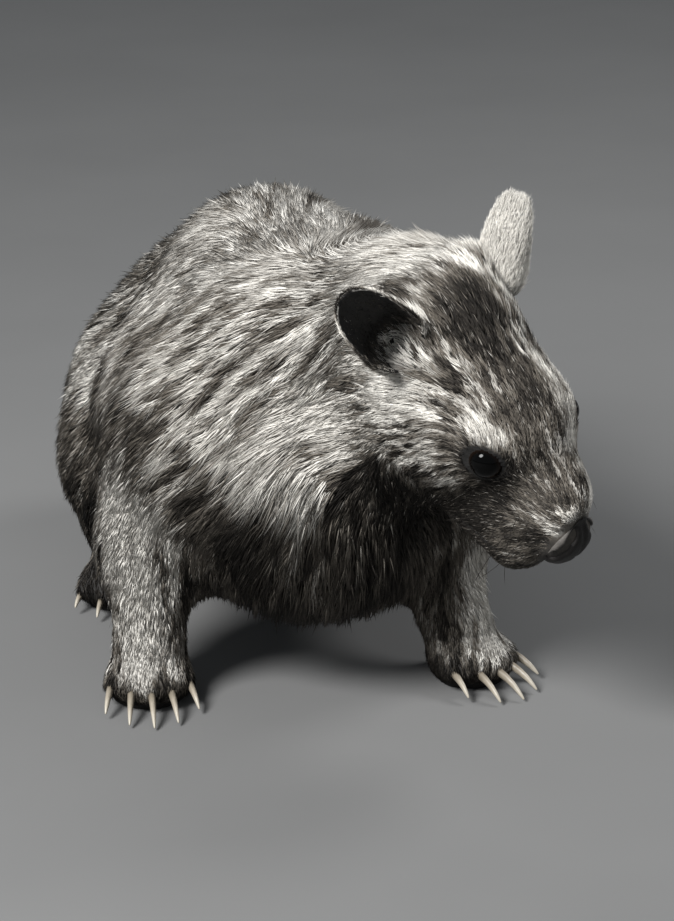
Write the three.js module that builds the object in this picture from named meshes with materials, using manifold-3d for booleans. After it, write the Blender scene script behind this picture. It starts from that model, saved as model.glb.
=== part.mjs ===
// A standing wombat, life size, head lowered and turned to its left. Millimetres, +Z up.
// The animal faces -Y, its left side is +X, and its soles lie on z = 0.
// The body is one smooth form, blended from named masses of flesh, and is parted by thin cuts.
import * as THREE from 'three';
import Module from 'manifold-3d';
import { mergeVertices } from 'three/addons/utils/BufferGeometryUtils.js';

const wasm = await Module();
wasm.setup();

// Driving dimensions.
const GAP = 0.3; // between neighbouring pieces
const SEAT_Y = 16; // the forefeet stand this far behind the reference line
const CHEST_WIDTH = 312;
const BARREL_WIDTH = 302;
const HIP_WIDTH = 340; // across the thighs
const BACK_HEIGHT = 326; // top of the arched back
const WITHERS_HEIGHT = 312;
const BELLY_HEIGHT = 45;
const TRUNK_LENGTH = 455; // chest to rump
const STANCE = 123; // half the distance between the forefeet
const HIND_STANCE = 122;
const HIND_REACH = 208; // reference line to hind feet
const HEAD_LENGTH = 200;
const HEAD_YAW = 43; // degrees, to the animal's left
const HEAD_PITCH = 33; // nose down
const HEAD_ROLL = 15; // left ear up
const SKULL_HINGE = [51, -46, 302]; // where the neck carries the skull
const EAR_LENGTH = 77;
const EAR_WIDTH = 38;
const EAR_SPREAD = 1.2; // the right ear is spread this much wider than the left
const EAR_WALL = 4.5;
const EYE_RADIUS = 13;
const LID = 2.6; // how far the lids stand over the eye
const CLAW_LENGTH = 37;
const HIND_CLAW_LENGTH = 21;

// Smoothness of the blends, and sizes of the facets.
const BODY_BLEND = 12;
const HEAD_BLEND = 5;
const FOOT_BLEND = 4;
const JOIN_BLEND = 12;
const TRUNK_FACET = 24.5;
const NECK_FACET = 16;
const LEG_FACET = 15.5;
const HEAD_FACET = 10;
const FOOT_FACET = 8.8;
const HIND_FOOT_FACET = 9.8;

const V = (x, y, z) => new THREE.Vector3(x, y, z);
const radians = THREE.MathUtils.degToRad;
const coat = {
  back: new THREE.MeshStandardMaterial({ color: 0x8f877a, roughness: 0.95 }),
  neck: new THREE.MeshStandardMaterial({ color: 0x9c9486, roughness: 0.95 }),
  leg: new THREE.MeshStandardMaterial({ color: 0x837b6e, roughness: 0.95 }),
  foot: new THREE.MeshStandardMaterial({ color: 0x4a443c, roughness: 0.95 }),
  ear: new THREE.MeshStandardMaterial({ color: 0xa8a195, roughness: 0.95 }),
};
const hornMaterial = new THREE.MeshStandardMaterial({ color: 0xcfc4a8, roughness: 0.45 });
const eyeMaterial = new THREE.MeshStandardMaterial({ color: 0x0d0907, roughness: 0.08 });
const leatherMaterial = new THREE.MeshStandardMaterial({ color: 0x1c1917, roughness: 0.6 });

// A place on the head is given as (forward, left, up) from the skull's hinge.
const headFrame = (() => {
  const yaw = radians(HEAD_YAW);
  const pitch = radians(HEAD_PITCH);
  const level = Math.cos(pitch);
  const forward = V(Math.sin(yaw) * level, -Math.cos(yaw) * level, -Math.sin(pitch));
  const left = V(Math.cos(yaw), Math.sin(yaw), 0).applyAxisAngle(forward, radians(HEAD_ROLL));
  const up = forward.clone().cross(left);
  return new THREE.Matrix4().makeBasis(forward, left, up).setPosition(...SKULL_HINGE);
})();
const onHead = (forward, left, up) =>
  V(forward, left, up).multiplyScalar(HEAD_LENGTH / 200).applyMatrix4(headFrame);
const headWay = (forward, left, up) => V(forward, left, up).transformDirection(headFrame);

// An egg of flesh: its distance field, negative inside. turn holds its axes as a rotation matrix.
function egg(centre, radii, turn = new THREE.Matrix4()) {
  const inverse = turn.clone().setPosition(0, 0, 0).transpose();
  const p = V();
  return (x, y, z) => {
    p.set(x - centre.x, y - centre.y, z - centre.z).applyMatrix4(inverse);
    const near = Math.hypot(p.x / radii[0], p.y / radii[1], p.z / radii[2]);
    const slope = Math.hypot(p.x / radii[0] ** 2, p.y / radii[1] ** 2, p.z / radii[2] ** 2);
    return slope > 1e-9 ? (near * (near - 1)) / slope : -Math.min(...radii);
  };
}

// A limb of flesh: a round bar from a to b whose radius runs from ra to rb.
function limb(a, b, ra, rb) {
  const along = b.clone().sub(a);
  const long = along.lengthSq();
  return (x, y, z) => {
    const [dx, dy, dz] = [x - a.x, y - a.y, z - a.z];
    const t = THREE.MathUtils.clamp((dx * along.x + dy * along.y + dz * along.z) / long, 0, 1);
    return Math.hypot(dx - t * along.x, dy - t * along.y, dz - t * along.z) - ra - t * (rb - ra);
  };
}

// Several masses as one, with the creases between them filled. softness is the fill's size.
function blend(softness, masses) {
  return (x, y, z) => {
    let sum = 0;
    let nearest = Infinity;
    const far = masses.map((mass) => mass(x, y, z));
    for (const d of far) nearest = Math.min(nearest, d);
    for (const d of far) sum += Math.exp((nearest - d) / softness);
    return nearest - softness * Math.log(sum);
  };
}

// The trunk: chest, shoulders, barrel, back, belly, loin and rump.
function trunkMasses() {
  const chest = CHEST_WIDTH / 2;
  const barrel = BARREL_WIDTH / 2;
  const rear = TRUNK_LENGTH - 62;
  const masses = [
    egg(V(0, 34, 140), [chest - 55, 84, 92]),
    egg(V(14, 98, WITHERS_HEIGHT - 98), [chest - 58, 100, 100]),
    egg(V(-2, 165, 172), [barrel - 6, 132, 92]),
    egg(V(-4, 165, BELLY_HEIGHT + 74), [barrel - 34, 130, 66]),
    egg(V(0, 214, BACK_HEIGHT - 118), [barrel - 56, 136, 114]),
    egg(V(-1, rear - 92, 170), [barrel - 31, 106, 104]),
    egg(V(0, rear - 46, 156), [barrel - 50, 84, 96]),
  ];
  for (const side of [-1, 1]) masses.push(egg(V(side * (chest - 58), 54, 178), [45, 72, 76]));
  return masses;
}

function neckMasses() {
  return [
    limb(V(28, 96, 230), V(66, -2, 288), 84, 58),
    egg(V(-34, 62, 222), [58, 78, 66]),
    egg(V(42, 116, 262), [56, 66, 56]),
    limb(V(6, 50, 205), onHead(40, 0, -10), 62, 50),
    limb(V(6, 14, 160), onHead(62, 0, -40), 52, 34),
  ];
}

// A foreleg: upper arm, elbow and forearm, down to the wrist. lean draws the elbow in over the foot.
function forelegMasses(side) {
  const lean = side > 0 ? 30 : 0;
  const elbow = V(side * (STANCE - lean), SEAT_Y + 26, 108);
  const wrist = V(side * (STANCE - lean * 0.7), SEAT_Y + 6, 44);
  return [
    limb(V(side * (CHEST_WIDTH / 2 - 52 - lean * 0.4), SEAT_Y + 28, 178), elbow, 42, 30),
    limb(elbow, wrist, 29, 24),
    egg(elbow.clone().add(V(-side * 4, 12, -2)), [27, 31, 36]),
  ];
}

// A hind leg: thigh, knee and shank, down to the heel.
function hindlegMasses(side) {
  const hip = V(side * (HIP_WIDTH / 2 - 76), HIND_REACH + 88, 150);
  const knee = V(side * (HIND_STANCE + 2), HIND_REACH + 22, 100);
  const heel = V(side * HIND_STANCE, HIND_REACH + 46, 38);
  return [
    limb(hip, knee, 58, 38),
    limb(knee, heel, 36, 26),
    egg(V(side * (HIP_WIDTH / 2 - 56), HIND_REACH + 60, 108), [46, 66, 60]),
  ];
}

// A foot as a frame: origin on the floor under its middle, x to its outer side, y towards the toes.
const feet = [
  { name: 'forefoot_right', side: -1, at: V(-STANCE - 3, SEAT_Y, 0), turn: 3, fore: true },
  { name: 'forefoot_left', side: 1, at: V(STANCE - 12, SEAT_Y - 6, 0), turn: 28, fore: true },
  { name: 'hindfoot_right', side: -1, at: V(-HIND_STANCE - 4, HIND_REACH, 0), turn: 14, fore: false },
  { name: 'hindfoot_left', side: 1, at: V(HIND_STANCE - 2, HIND_REACH + 8, 0), turn: 12, fore: false },
];
for (const foot of feet) {
  const ahead = V(Math.sin(radians(foot.turn)) * foot.side, -Math.cos(radians(foot.turn)), 0);
  const outer = V(-ahead.y * foot.side, ahead.x * foot.side, 0);
  foot.place = (x, y, z) => foot.at.clone().addScaledVector(outer, x).addScaledVector(ahead, y).setZ(z);
  foot.way = (x, y, z) => outer.clone().multiplyScalar(x).addScaledVector(ahead, y).setZ(z).normalize();
}

// Toes fan out from the palm. share runs from -1 on the inner toe to 1 on the outer one.
function toesOf(foot) {
  const count = foot.fore ? 5 : 4;
  const spread = foot.fore ? 26 : 24;
  const reach = foot.fore ? 31 : 46;
  return Array.from({ length: count }, (_, i) => {
    const share = (2 * i) / (count - 1) - 1;
    const back = share * share * (foot.fore ? 15 : 12);
    return {
      share,
      knuckle: foot.place(share * spread * 0.8, reach - 16 - back, 18),
      tip: foot.place(share * spread * 1.08, reach - back, 15),
    };
  });
}

function footMasses(foot) {
  const palm = foot.fore ? 2 : 12;
  const heel = foot.fore ? -16 : -40;
  return [
    egg(foot.place(0, palm, 13), [29, 28, 19]),
    limb(foot.place(0, palm, 14), foot.place(0, heel, 14), 24, 18),
    limb(foot.place(0, palm - 8, 22), foot.place(0, heel + 4, 46), 21, 22),
    ...toesOf(foot).map((toe) => limb(toe.knuckle, toe.tip, 9.5, 8)),
  ];
}

// The head: skull, brow, muzzle, nose end, jaw, cheeks, lips and ear roots.
// The raised left ear draws its root up.
function headMasses() {
  const size = HEAD_LENGTH / 200;
  const at = (forward, left, up, radii) =>
    egg(onHead(forward, left, up), radii.map((r) => r * size), headFrame);
  const masses = [
    at(36, 0, 6, [52, 53, 52]),
    at(88, 0, 4, [60, 41, 38]),
    at(138, 0, -23, [48, 29, 31]),
    at(166, 0, -41, [20, 22, 27]),
    limb(onHead(52, 0, -54), onHead(152, 0, -86), 36 * size, 24 * size),
    limb(onHead(60, 0, 22), onHead(164, 0, -17), 21 * size, 13 * size),
  ];
  for (const side of [-1, 1]) {
    masses.push(
      at(76, side * 34, -22, [44, 25, 40]),
      at(108, side * 31, 12, [22, 10, 9]),
      at(116, side * 30, -6, [25, 14, 18]),
      at(118, side * 17, -54, [42, 20, 34]),
      at(155, side * 14, -66, [26, 17, 21]),
      at(25, side * 38, 17, [15, 14, 12]));
  }
  masses.push(at(12, 36, 40, [22, 15, 19]));
  return masses;
}

const tailRoot = V(-2, TRUNK_LENGTH - 62, 168);
const tailMasses = [limb(tailRoot, tailRoot.clone().add(V(0, 42, -34)), 17, 9)];

const field = {};
field.head = blend(HEAD_BLEND, headMasses());
field.legs = [-1, 1].flatMap((side) => [...forelegMasses(side), ...hindlegMasses(side)]);
field.feet = feet.map((foot) => blend(FOOT_BLEND, footMasses(foot)));
field.trunk = blend(BODY_BLEND, [...trunkMasses(), ...neckMasses(), ...field.legs]);
field.body = blend(JOIN_BLEND / 2, [field.trunk, ...field.feet, ...tailMasses]);
field.whole = blend(JOIN_BLEND, [field.body, field.head]);

// A closed geometry as a solid that can be joined and cut, and back again.
function solidOf(geometry) {
  const bare = geometry.clone();
  bare.deleteAttribute('normal');
  bare.deleteAttribute('uv');
  const merged = mergeVertices(bare, 1e-4);
  return new wasm.Manifold(new wasm.Mesh({
    numProp: 3,
    vertProperties: new Float32Array(merged.attributes.position.array),
    triVerts: new Uint32Array(merged.index.array),
  }));
}

function geometryOf(solid) {
  const mesh = solid.getMesh();
  const geometry = new THREE.BufferGeometry();
  const positions = new Float32Array(mesh.vertProperties);
  geometry.setAttribute('position', new THREE.BufferAttribute(positions, 3));
  geometry.setIndex(new THREE.BufferAttribute(new Uint32Array(mesh.triVerts), 1));
  geometry.computeVertexNormals();
  return geometry;
}

// The skin of a field inside a box, in even facets: one vertex in each cell that the skin crosses, drawn onto
// the skin, and one quad across each crossed edge between cells. The skin closes at the box's walls.
function skinOf(mass, low, high, facet) {
  const count = ['x', 'y', 'z'].map((axis) => Math.ceil((high[axis] - low[axis]) / facet) + 1);
  const at = (i, j, k) => (k * count[1] + j) * count[0] + i;
  const onWall = (cell, width) => cell.some((n, axis) => n === 0 || n === count[axis] - width);
  const values = new Float32Array(count[0] * count[1] * count[2]);
  for (let k = 0; k < count[2]; k++) {
    for (let j = 0; j < count[1]; j++) {
      for (let i = 0; i < count[0]; i++) {
        const edge = onWall([i, j, k], 1);
        const value = mass(low.x + i * facet, low.y + j * facet, low.z + k * facet);
        values[at(i, j, k)] = edge ? Math.max(value, 1e-3) : value;
      }
    }
  }
  const corners = [0, 1, 2, 3, 4, 5, 6, 7].map((n) => [n & 1, (n >> 1) & 1, (n >> 2) & 1]);
  const links = corners.flatMap((a, m) => corners.map((b, n) => [m, n]).slice(m + 1)
    .filter(([, n]) => [1, 2, 4].includes(m ^ n)));
  const positions = [];
  const vertexAt = new Map();
  for (let k = 0; k < count[2] - 1; k++) {
    for (let j = 0; j < count[1] - 1; j++) {
      for (let i = 0; i < count[0] - 1; i++) {
        const value = corners.map(([a, b, c]) => values[at(i + a, j + b, k + c)]);
        const inside = value.filter((v) => v < 0).length;
        if (inside === 0 || inside === 8) continue;
        const middle = V(0, 0, 0);
        let crossed = 0;
        for (const [m, n] of links) {
          if (value[m] < 0 === value[n] < 0) continue;
          const t = value[m] / (value[m] - value[n]);
          middle.add(V(...corners[m]).lerp(V(...corners[n]), t));
          crossed++;
        }
        vertexAt.set(at(i, j, k), positions.length / 3);
        const p = middle.divideScalar(crossed).add(V(i, j, k)).multiplyScalar(facet).add(low);
        if (!onWall([i, j, k], 2)) drawnTo(mass, p);
        positions.push(p.x, p.y, p.z);
      }
    }
  }
  const index = [];
  const spot = (n) => V(positions[3 * n], positions[3 * n + 1], positions[3 * n + 2]);
  const quad = (p, q, r, s, flip) => {
    const other = spot(p).distanceTo(spot(r)) > spot(q).distanceTo(spot(s));
    const faces = other ? [[p, q, s], [q, r, s]] : [[p, q, r], [p, r, s]];
    for (const [u, v, w] of faces) index.push(...(flip ? [u, w, v] : [u, v, w]));
  };
  const step = [at(1, 0, 0), at(0, 1, 0), at(0, 0, 1)];
  for (let k = 0; k < count[2] - 1; k++) {
    for (let j = 0; j < count[1] - 1; j++) {
      for (let i = 0; i < count[0] - 1; i++) {
        const here = at(i, j, k);
        for (let axis = 0; axis < 3; axis++) {
          if (values[here] < 0 === values[here + step[axis]] < 0) continue;
          const b = step[(axis + 1) % 3];
          const c = step[(axis + 2) % 3];
          const around = [here - b - c, here - c, here, here - b].map((cell) => vertexAt.get(cell));
          quad(...around, values[here] >= 0);
        }
      }
    }
  }
  const geometry = new THREE.BufferGeometry();
  geometry.setAttribute('position', new THREE.Float32BufferAttribute(positions, 3));
  geometry.setIndex(index);
  return geometry;
}

// The field's slope at a point.
function slopeOf(mass, p, step = 0.5) {
  return V(
    mass(p.x + step, p.y, p.z) - mass(p.x - step, p.y, p.z),
    mass(p.x, p.y + step, p.z) - mass(p.x, p.y - step, p.z),
    mass(p.x, p.y, p.z + step) - mass(p.x, p.y, p.z - step)).divideScalar(2 * step);
}

// Moves a point onto the skin, along the field's slope.
function drawnTo(mass, p, steps = 3) {
  for (let n = 0; n < steps; n++) {
    const slope = slopeOf(mass, p);
    p.addScaledVector(slope, -mass(p.x, p.y, p.z) / Math.max(slope.lengthSq(), 0.2));
  }
  return p;
}

// A block with one face through a point, the face's normal pointing out of the block.
function blockBehind(point, normal, size = 900) {
  const box = new THREE.BoxGeometry(size, size, size).translate(0, 0, -size / 2);
  const turn = new THREE.Quaternion().setFromUnitVectors(V(0, 0, 1), normal.clone().normalize());
  return solidOf(box.applyQuaternion(turn).translate(point.x, point.y, point.z));
}

const boxSolid = (low, high) => {
  const size = high.clone().sub(low);
  const middle = low.clone().add(high).multiplyScalar(0.5);
  return solidOf(new THREE.BoxGeometry(size.x, size.y, size.z).translate(middle.x, middle.y, middle.z));
};

// A closed body from rings of points, first to last.
function loft(rings) {
  const sides = rings[0].length;
  const positions = rings.flat().flatMap((p) => [p.x, p.y, p.z]);
  const index = [];
  const middle = (ring) => ring.reduce((sum, p) => sum.add(p), V(0, 0, 0)).divideScalar(sides);
  for (let n = 0; n + 1 < rings.length; n++) {
    for (let i = 0; i < sides; i++) {
      const a = n * sides + i;
      const b = n * sides + ((i + 1) % sides);
      index.push(a, b, b + sides, a, b + sides, a + sides);
    }
  }
  [0, rings.length - 1].forEach((n, last) => {
    const centre = positions.length / 3;
    const m = middle(rings[n]);
    positions.push(m.x, m.y, m.z);
    for (let i = 0; i < sides; i++) {
      const a = n * sides + i;
      const b = n * sides + ((i + 1) % sides);
      index.push(...(last ? [a, b, centre] : [b, a, centre]));
    }
  });
  const spot = (n) => V(positions[3 * n], positions[3 * n + 1], positions[3 * n + 2]);
  let volume = 0;
  for (let n = 0; n < index.length; n += 3) {
    volume += spot(index[n]).dot(spot(index[n + 1]).cross(spot(index[n + 2])));
  }
  const geometry = new THREE.BufferGeometry();
  geometry.setAttribute('position', new THREE.Float32BufferAttribute(positions, 3));
  geometry.setIndex(volume < 0 ? index.reverse() : index);
  return geometry;
}

// A tapered horn that bends from one way to another. width and height are its thickness at the root.
function horn({ root, way, down, length, width, height, bend, steps = 7, sides = 8, grow = 0 }) {
  const across = way.clone().cross(down).normalize();
  const rings = [];
  const middle = root.clone();
  for (let n = 0; n <= steps; n++) {
    const t = n / steps;
    const heading = way.clone().applyAxisAngle(across, bend * t);
    const thick = heading.clone().cross(across);
    const taper = Math.sqrt(1 - t) * 0.5 + 0.5 - 0.32 * t;
    rings.push(Array.from({ length: sides }, (_, i) => {
      const turn = (2 * Math.PI * i) / sides;
      return middle.clone()
        .addScaledVector(across, Math.cos(turn) * (width / 2 * taper + grow))
        .addScaledVector(thick, Math.sin(turn) * (height / 2 * taper + grow));
    }));
    middle.addScaledVector(heading, (length + grow) / steps);
  }
  return loft(rings);
}

const group = new THREE.Group();
function addNode(name, solid, material) {
  const bodies = solid.decompose().sort((a, b) => b.volume() - a.volume());
  const mesh = new THREE.Mesh(geometryOf(bodies[0]), material);
  mesh.name = name;
  group.add(mesh);
}

// The cuts that part the body.
const headCut = { point: onHead(2, 0, 34), normal: headWay(0.93, -0.04, 0.36) };
const neckCut = { point: V(26, 4, 250), normal: V(0.37, -0.77, 0.52).normalize() };
const tailCut = { point: tailRoot.clone().add(V(0, 17, -14)), normal: V(0, 0.78, -0.63) };
const noseCut = { point: onHead(184, 0, -44), normal: headWay(0.99, 0, -0.1) };
const WRIST_HEIGHT = 46;
const ahead = (plane, gap) => blockBehind(
  plane.point.clone().addScaledVector(plane.normal, gap), plane.normal.clone().negate());
const behind = (plane, gap) => blockBehind(
  plane.point.clone().addScaledVector(plane.normal, -gap), plane.normal);
const above = (height) => blockBehind(V(0, 200, height), V(0, 0, -1));
const below = (height) => blockBehind(V(0, 200, height), V(0, 0, 1));

const ball = (centre, radii, turn = new THREE.Matrix4(), sides = 16) => {
  const geometry = new THREE.SphereGeometry(1, sides, Math.round(sides * 0.7));
  geometry.scale(...radii).applyMatrix4(turn.clone().setPosition(0, 0, 0));
  geometry.translate(centre.x, centre.y, centre.z);
  return solidOf(geometry);
};

// A long ball that reaches from one point to another.
const slot = (a, b, radius) => {
  const turn = new THREE.Matrix4().makeRotationFromQuaternion(
    new THREE.Quaternion().setFromUnitVectors(V(1, 0, 0), b.clone().sub(a).normalize()));
  return ball(a.clone().add(b).multiplyScalar(0.5), [a.distanceTo(b) / 2 + radius, radius, radius], turn, 10);
};

// A round bar along a line that is drawn onto a skin, raised from it by lift.
function bead(mass, places, radius, lift, pieces = 14, sides = 6) {
  const drawn = places.map((p) => {
    const on = drawnTo(mass, p.clone(), 6);
    return on.addScaledVector(slopeOf(mass, on).normalize(), lift);
  });
  const curve = new THREE.CatmullRomCurve3(drawn);
  const frames = curve.computeFrenetFrames(pieces);
  const rings = frames.tangents.map((_, n) => {
    const middle = curve.getPointAt(n / pieces);
    const thick = radius * (n === 0 || n === pieces ? 0.4 : 1);
    return Array.from({ length: sides }, (__, i) => {
      const turn = (2 * Math.PI * i) / sides;
      return middle.clone()
        .addScaledVector(frames.normals[n], Math.cos(turn) * thick)
        .addScaledVector(frames.binormals[n], Math.sin(turn) * thick);
    });
  });
  return solidOf(loft(rings));
}

// The bound of one leg: a round thigh or shoulder seen from the side, and a post down to the wrist.
function legBound(side, fore, margin) {
  const middle = fore ? V(0, SEAT_Y + 24, 122) : V(0, HIND_REACH + 52, 118);
  const reach = fore ? [56, 62] : [98, 76];
  const inner = fore ? 60 : 58;
  const long = 300;
  const disc = new THREE.CylinderGeometry(1, 1, long, 28).rotateZ(Math.PI / 2)
    .scale(1, reach[0] + margin, reach[1] + margin)
    .rotateX(Math.PI / 2)
    .translate(side * (inner + long / 2 - margin), middle.y, middle.z);
  disc.computeBoundingBox();
  const post = boxSolid(
    V(disc.boundingBox.min.x, middle.y - (fore ? 46 : 76) - margin, -60),
    V(disc.boundingBox.max.x, middle.y + (fore ? 40 : 66) + margin, middle.z - (fore ? 34 : 30)));
  return solidOf(disc).add(post);
}

// An ear: a cupped leaf whose edges close round its root. facing is the way the cup opens.
function earLeaf(side) {
  const axis = side > 0 ? headWay(-0.3, 0.21, 0.93) : headWay(-0.49, -0.58, 0.65);
  const look = side > 0 ? headWay(-0.22, 0.9, -0.38) : headWay(0.86, -0.3, 0.41);
  const across = axis.clone().cross(look).normalize();
  const facing = across.clone().cross(axis);
  const root = onHead(29, side * 47, 28);
  const rows = 8;
  const span = 6;
  const spread = side > 0 ? 1 : EAR_SPREAD;
  const rings = [];
  for (let n = 0; n <= rows; n++) {
    const t = n / rows;
    const leaf = Math.max(1 - Math.abs((t - 0.3) / 0.705) ** 2.4, 0) ** (1 / 2.4);
    const waist = 1 - 0.2 * Math.max(1 - t / 0.3, 0) ** 2;
    const wide = (EAR_WIDTH / 2) * leaf * waist * spread;
    const wrap = radians(128 - 74 * Math.min(t / 0.7, 1));
    const bow = wide / Math.sin(Math.min(wrap, Math.PI / 2));
    const wall = Math.min(EAR_WALL * (1 - 0.35 * t), wide * 0.7);
    const middle = root.clone().addScaledVector(axis, EAR_LENGTH * t - 5)
      .addScaledVector(facing, bow * Math.cos(wrap) * 0.4 + 5 * t * t);
    const arc = (radius, reach) => Array.from({ length: span + 1 }, (_, i) => {
      const turn = reach * ((2 * i) / span - 1);
      return middle.clone().addScaledVector(across, radius * Math.sin(turn))
        .addScaledVector(facing, -radius * Math.cos(turn) + bow * 0.5);
    });
    rings.push([...arc(bow, wrap), ...arc(bow - wall, wrap * 0.94).reverse()]);
  }
  return { solid: solidOf(loft(rings)), root, axis };
}

// The head, with its eyes, nose, ears, lids, nostrils, lips and mouth.
function headNodes() {
  const size = HEAD_LENGTH / 200;
  const box = new THREE.Box3().setFromPoints([onHead(30, 0, 0), onHead(160, 0, -10)]).expandByScalar(105);
  let head = solidOf(skinOf(field.whole, box.min, box.max, HEAD_FACET))
    .intersect(ahead(headCut, GAP / 2))
    .intersect(ahead(neckCut, GAP / 2));
  for (const side of [-1, 1]) {
    const name = side > 0 ? 'left' : 'right';
    const ear = earLeaf(side);
    const seat = { point: ear.root, normal: ear.axis };
    const stump = new THREE.CylinderGeometry(14.5, 19, 22, 14).translate(0, -11, 0)
      .applyQuaternion(new THREE.Quaternion().setFromUnitVectors(V(0, 1, 0), ear.axis))
      .translate(...ear.root.clone().addScaledVector(ear.axis, -GAP / 2));
    const leaf = ear.solid.intersect(ahead(seat, GAP / 2));
    const well = ball(ear.root.clone().addScaledVector(ear.axis, 1), [9.5, 9.5, 9.5], headFrame, 10);
    head = head.add(solidOf(stump)).subtract(well);
    addNode(`ear_${name}`, leaf.subtract(head), coat.ear);

    const middle = onHead(120, side * 37, -3);
    const look = headWay(0.28, side * 0.9, 0.32);
    const turn = new THREE.Matrix4().lookAt(look, V(0, 0, 0), headWay(0, 0, 1));
    const lids = ball(middle, [EYE_RADIUS + LID + 1.5, EYE_RADIUS + LID, EYE_RADIUS + LID], turn, 14);
    const slit = new THREE.CylinderGeometry(1, 1.25, 30, 14).rotateX(Math.PI / 2)
      .scale(EYE_RADIUS, EYE_RADIUS * 0.82, 1).translate(0, 0, 17.4)
      .applyMatrix4(turn).translate(middle.x, middle.y, middle.z);
    const eyeball = (radius) => ball(middle, [radius, radius, radius], turn, 16);
    head = head.add(lids).subtract(solidOf(slit)).subtract(eyeball(EYE_RADIUS + GAP));
    addNode(`eye_${name}`, eyeball(EYE_RADIUS), eyeMaterial);
  }
  const mouth = [-1, -0.8, -0.4, 0, 0.4, 0.8, 1].map((share) => {
    const side = Math.sign(share);
    const back = Math.abs(share);
    return onHead(190 - 72 * back ** 2, side * (10 + 20 * back) * Math.sign(back), -76 + 2 * back * back);
  });
  const lip = mouth.map((p) => p.clone().addScaledVector(headWay(0, 0, 1), -6));
  head = head
    .add(bead(field.head, lip, 4 * size, -2))
    .subtract(bead(field.head, mouth, 2.2 * size, 0.4));
  const pad = onHead(180, 0, -48);
  const muzzle = head.add(ball(pad, [18 * size, 22 * size, 25 * size], headFrame, 16));
  let nose = muzzle.intersect(ahead(noseCut, GAP / 2));
  for (const side of [-1, 1]) {
    nose = nose.subtract(slot(onHead(190, side * 8, -33), onHead(186, side * 19, -55), 4.5));
  }
  addNode('nose', nose, leatherMaterial);
  addNode('head', head.intersect(behind(noseCut, GAP / 2)), coat.back);
}

headNodes();
{
  const box = new THREE.Box3(V(-150, -140, 90), V(190, 160, 400));
  const whole = solidOf(skinOf(field.whole, box.min, box.max, NECK_FACET));
  const neck = whole.intersect(behind(headCut, GAP / 2)).intersect(ahead(neckCut, GAP / 2));
  addNode('neck', neck, coat.neck);
}
const tailBox = boxSolid(V(-32, tailRoot.y, 80), V(32, 560, 240));
{
  const skin = solidOf(skinOf(field.body, V(-220, -110, 30), V(220, 500, 400), TRUNK_FACET));
  let trunk = skin.intersect(behind(neckCut, GAP / 2)).subtract(tailBox.intersect(ahead(tailCut, -GAP / 2)));
  for (const side of [-1, 1]) {
    for (const fore of [true, false]) trunk = trunk.subtract(legBound(side, fore, GAP));
  }
  addNode('torso', trunk, coat.back);
  const tail = solidOf(skinOf(field.body, V(-60, 300, 60), V(60, 520, 260), 12));
  addNode('tail', tail.intersect(tailBox).intersect(ahead(tailCut, GAP / 2)), coat.back);
}
for (const side of [-1, 1]) {
  for (const fore of [true, false]) {
    const y = fore ? [-70, 150] : [HIND_REACH - 90, HIND_REACH + 210];
    const x = side > 0 ? [30, 215] : [-215, -30];
    const skin = solidOf(skinOf(field.body, V(x[0], y[0], 20), V(x[1], y[1], 240), LEG_FACET));
    const leg = skin.intersect(legBound(side, fore, 0)).intersect(above(WRIST_HEIGHT + GAP / 2));
    addNode(`${fore ? 'foreleg' : 'hindleg'}_${side > 0 ? 'left' : 'right'}`, leg, coat.leg);
  }
}
for (const foot of feet) {
  const ends = [foot.place(0, 50, 0), foot.place(0, -70, 0)];
  const box = new THREE.Box3().setFromPoints(ends).expandByScalar(48);
  const high = V(box.max.x, box.max.y, WRIST_HEIGHT + 20);
  const low = V(box.min.x, box.min.y, -15.2);
  let paw = solidOf(skinOf(field.body, low, high, foot.fore ? FOOT_FACET : HIND_FOOT_FACET))
    .intersect(above(0)).intersect(below(WRIST_HEIGHT - GAP / 2));
  toesOf(foot).forEach((toe, n) => {
    const way = foot.way(toe.share * 0.22, 1, -0.1);
    const claw = {
      root: toe.tip.clone().addScaledVector(way, -1).setZ(foot.fore ? 15 : 13),
      way,
      down: V(0, 0, -1),
      length: (foot.fore ? CLAW_LENGTH : HIND_CLAW_LENGTH) * (1 - 0.2 * toe.share * toe.share),
      width: foot.fore ? 6.2 : 5.2,
      height: foot.fore ? 8 : 6.6,
      bend: radians(foot.fore ? 38 : 44),
      steps: 4,
      sides: 6,
    };
    paw = paw.subtract(solidOf(horn({ ...claw, grow: GAP })));
    addNode(`claw_${foot.name}_${n + 1}`, solidOf(horn(claw)), hornMaterial);
  });
  addNode(foot.name, paw, coat.foot);
}

// The origin is under the middle of the whole animal, on the floor.
const bound = new THREE.Box3().setFromObject(group);
const middle = bound.getCenter(V(0, 0, 0));
for (const mesh of group.children) mesh.geometry.translate(-middle.x, -middle.y, -bound.min.z);

export default group;
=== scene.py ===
# A standing wombat: skin, coat, ears, eyes, nose and claws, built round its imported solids.
import math

import bpy
import numpy as np
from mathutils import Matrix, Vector
from mathutils.bvhtree import BVHTree
from mathutils.kdtree import KDTree


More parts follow.
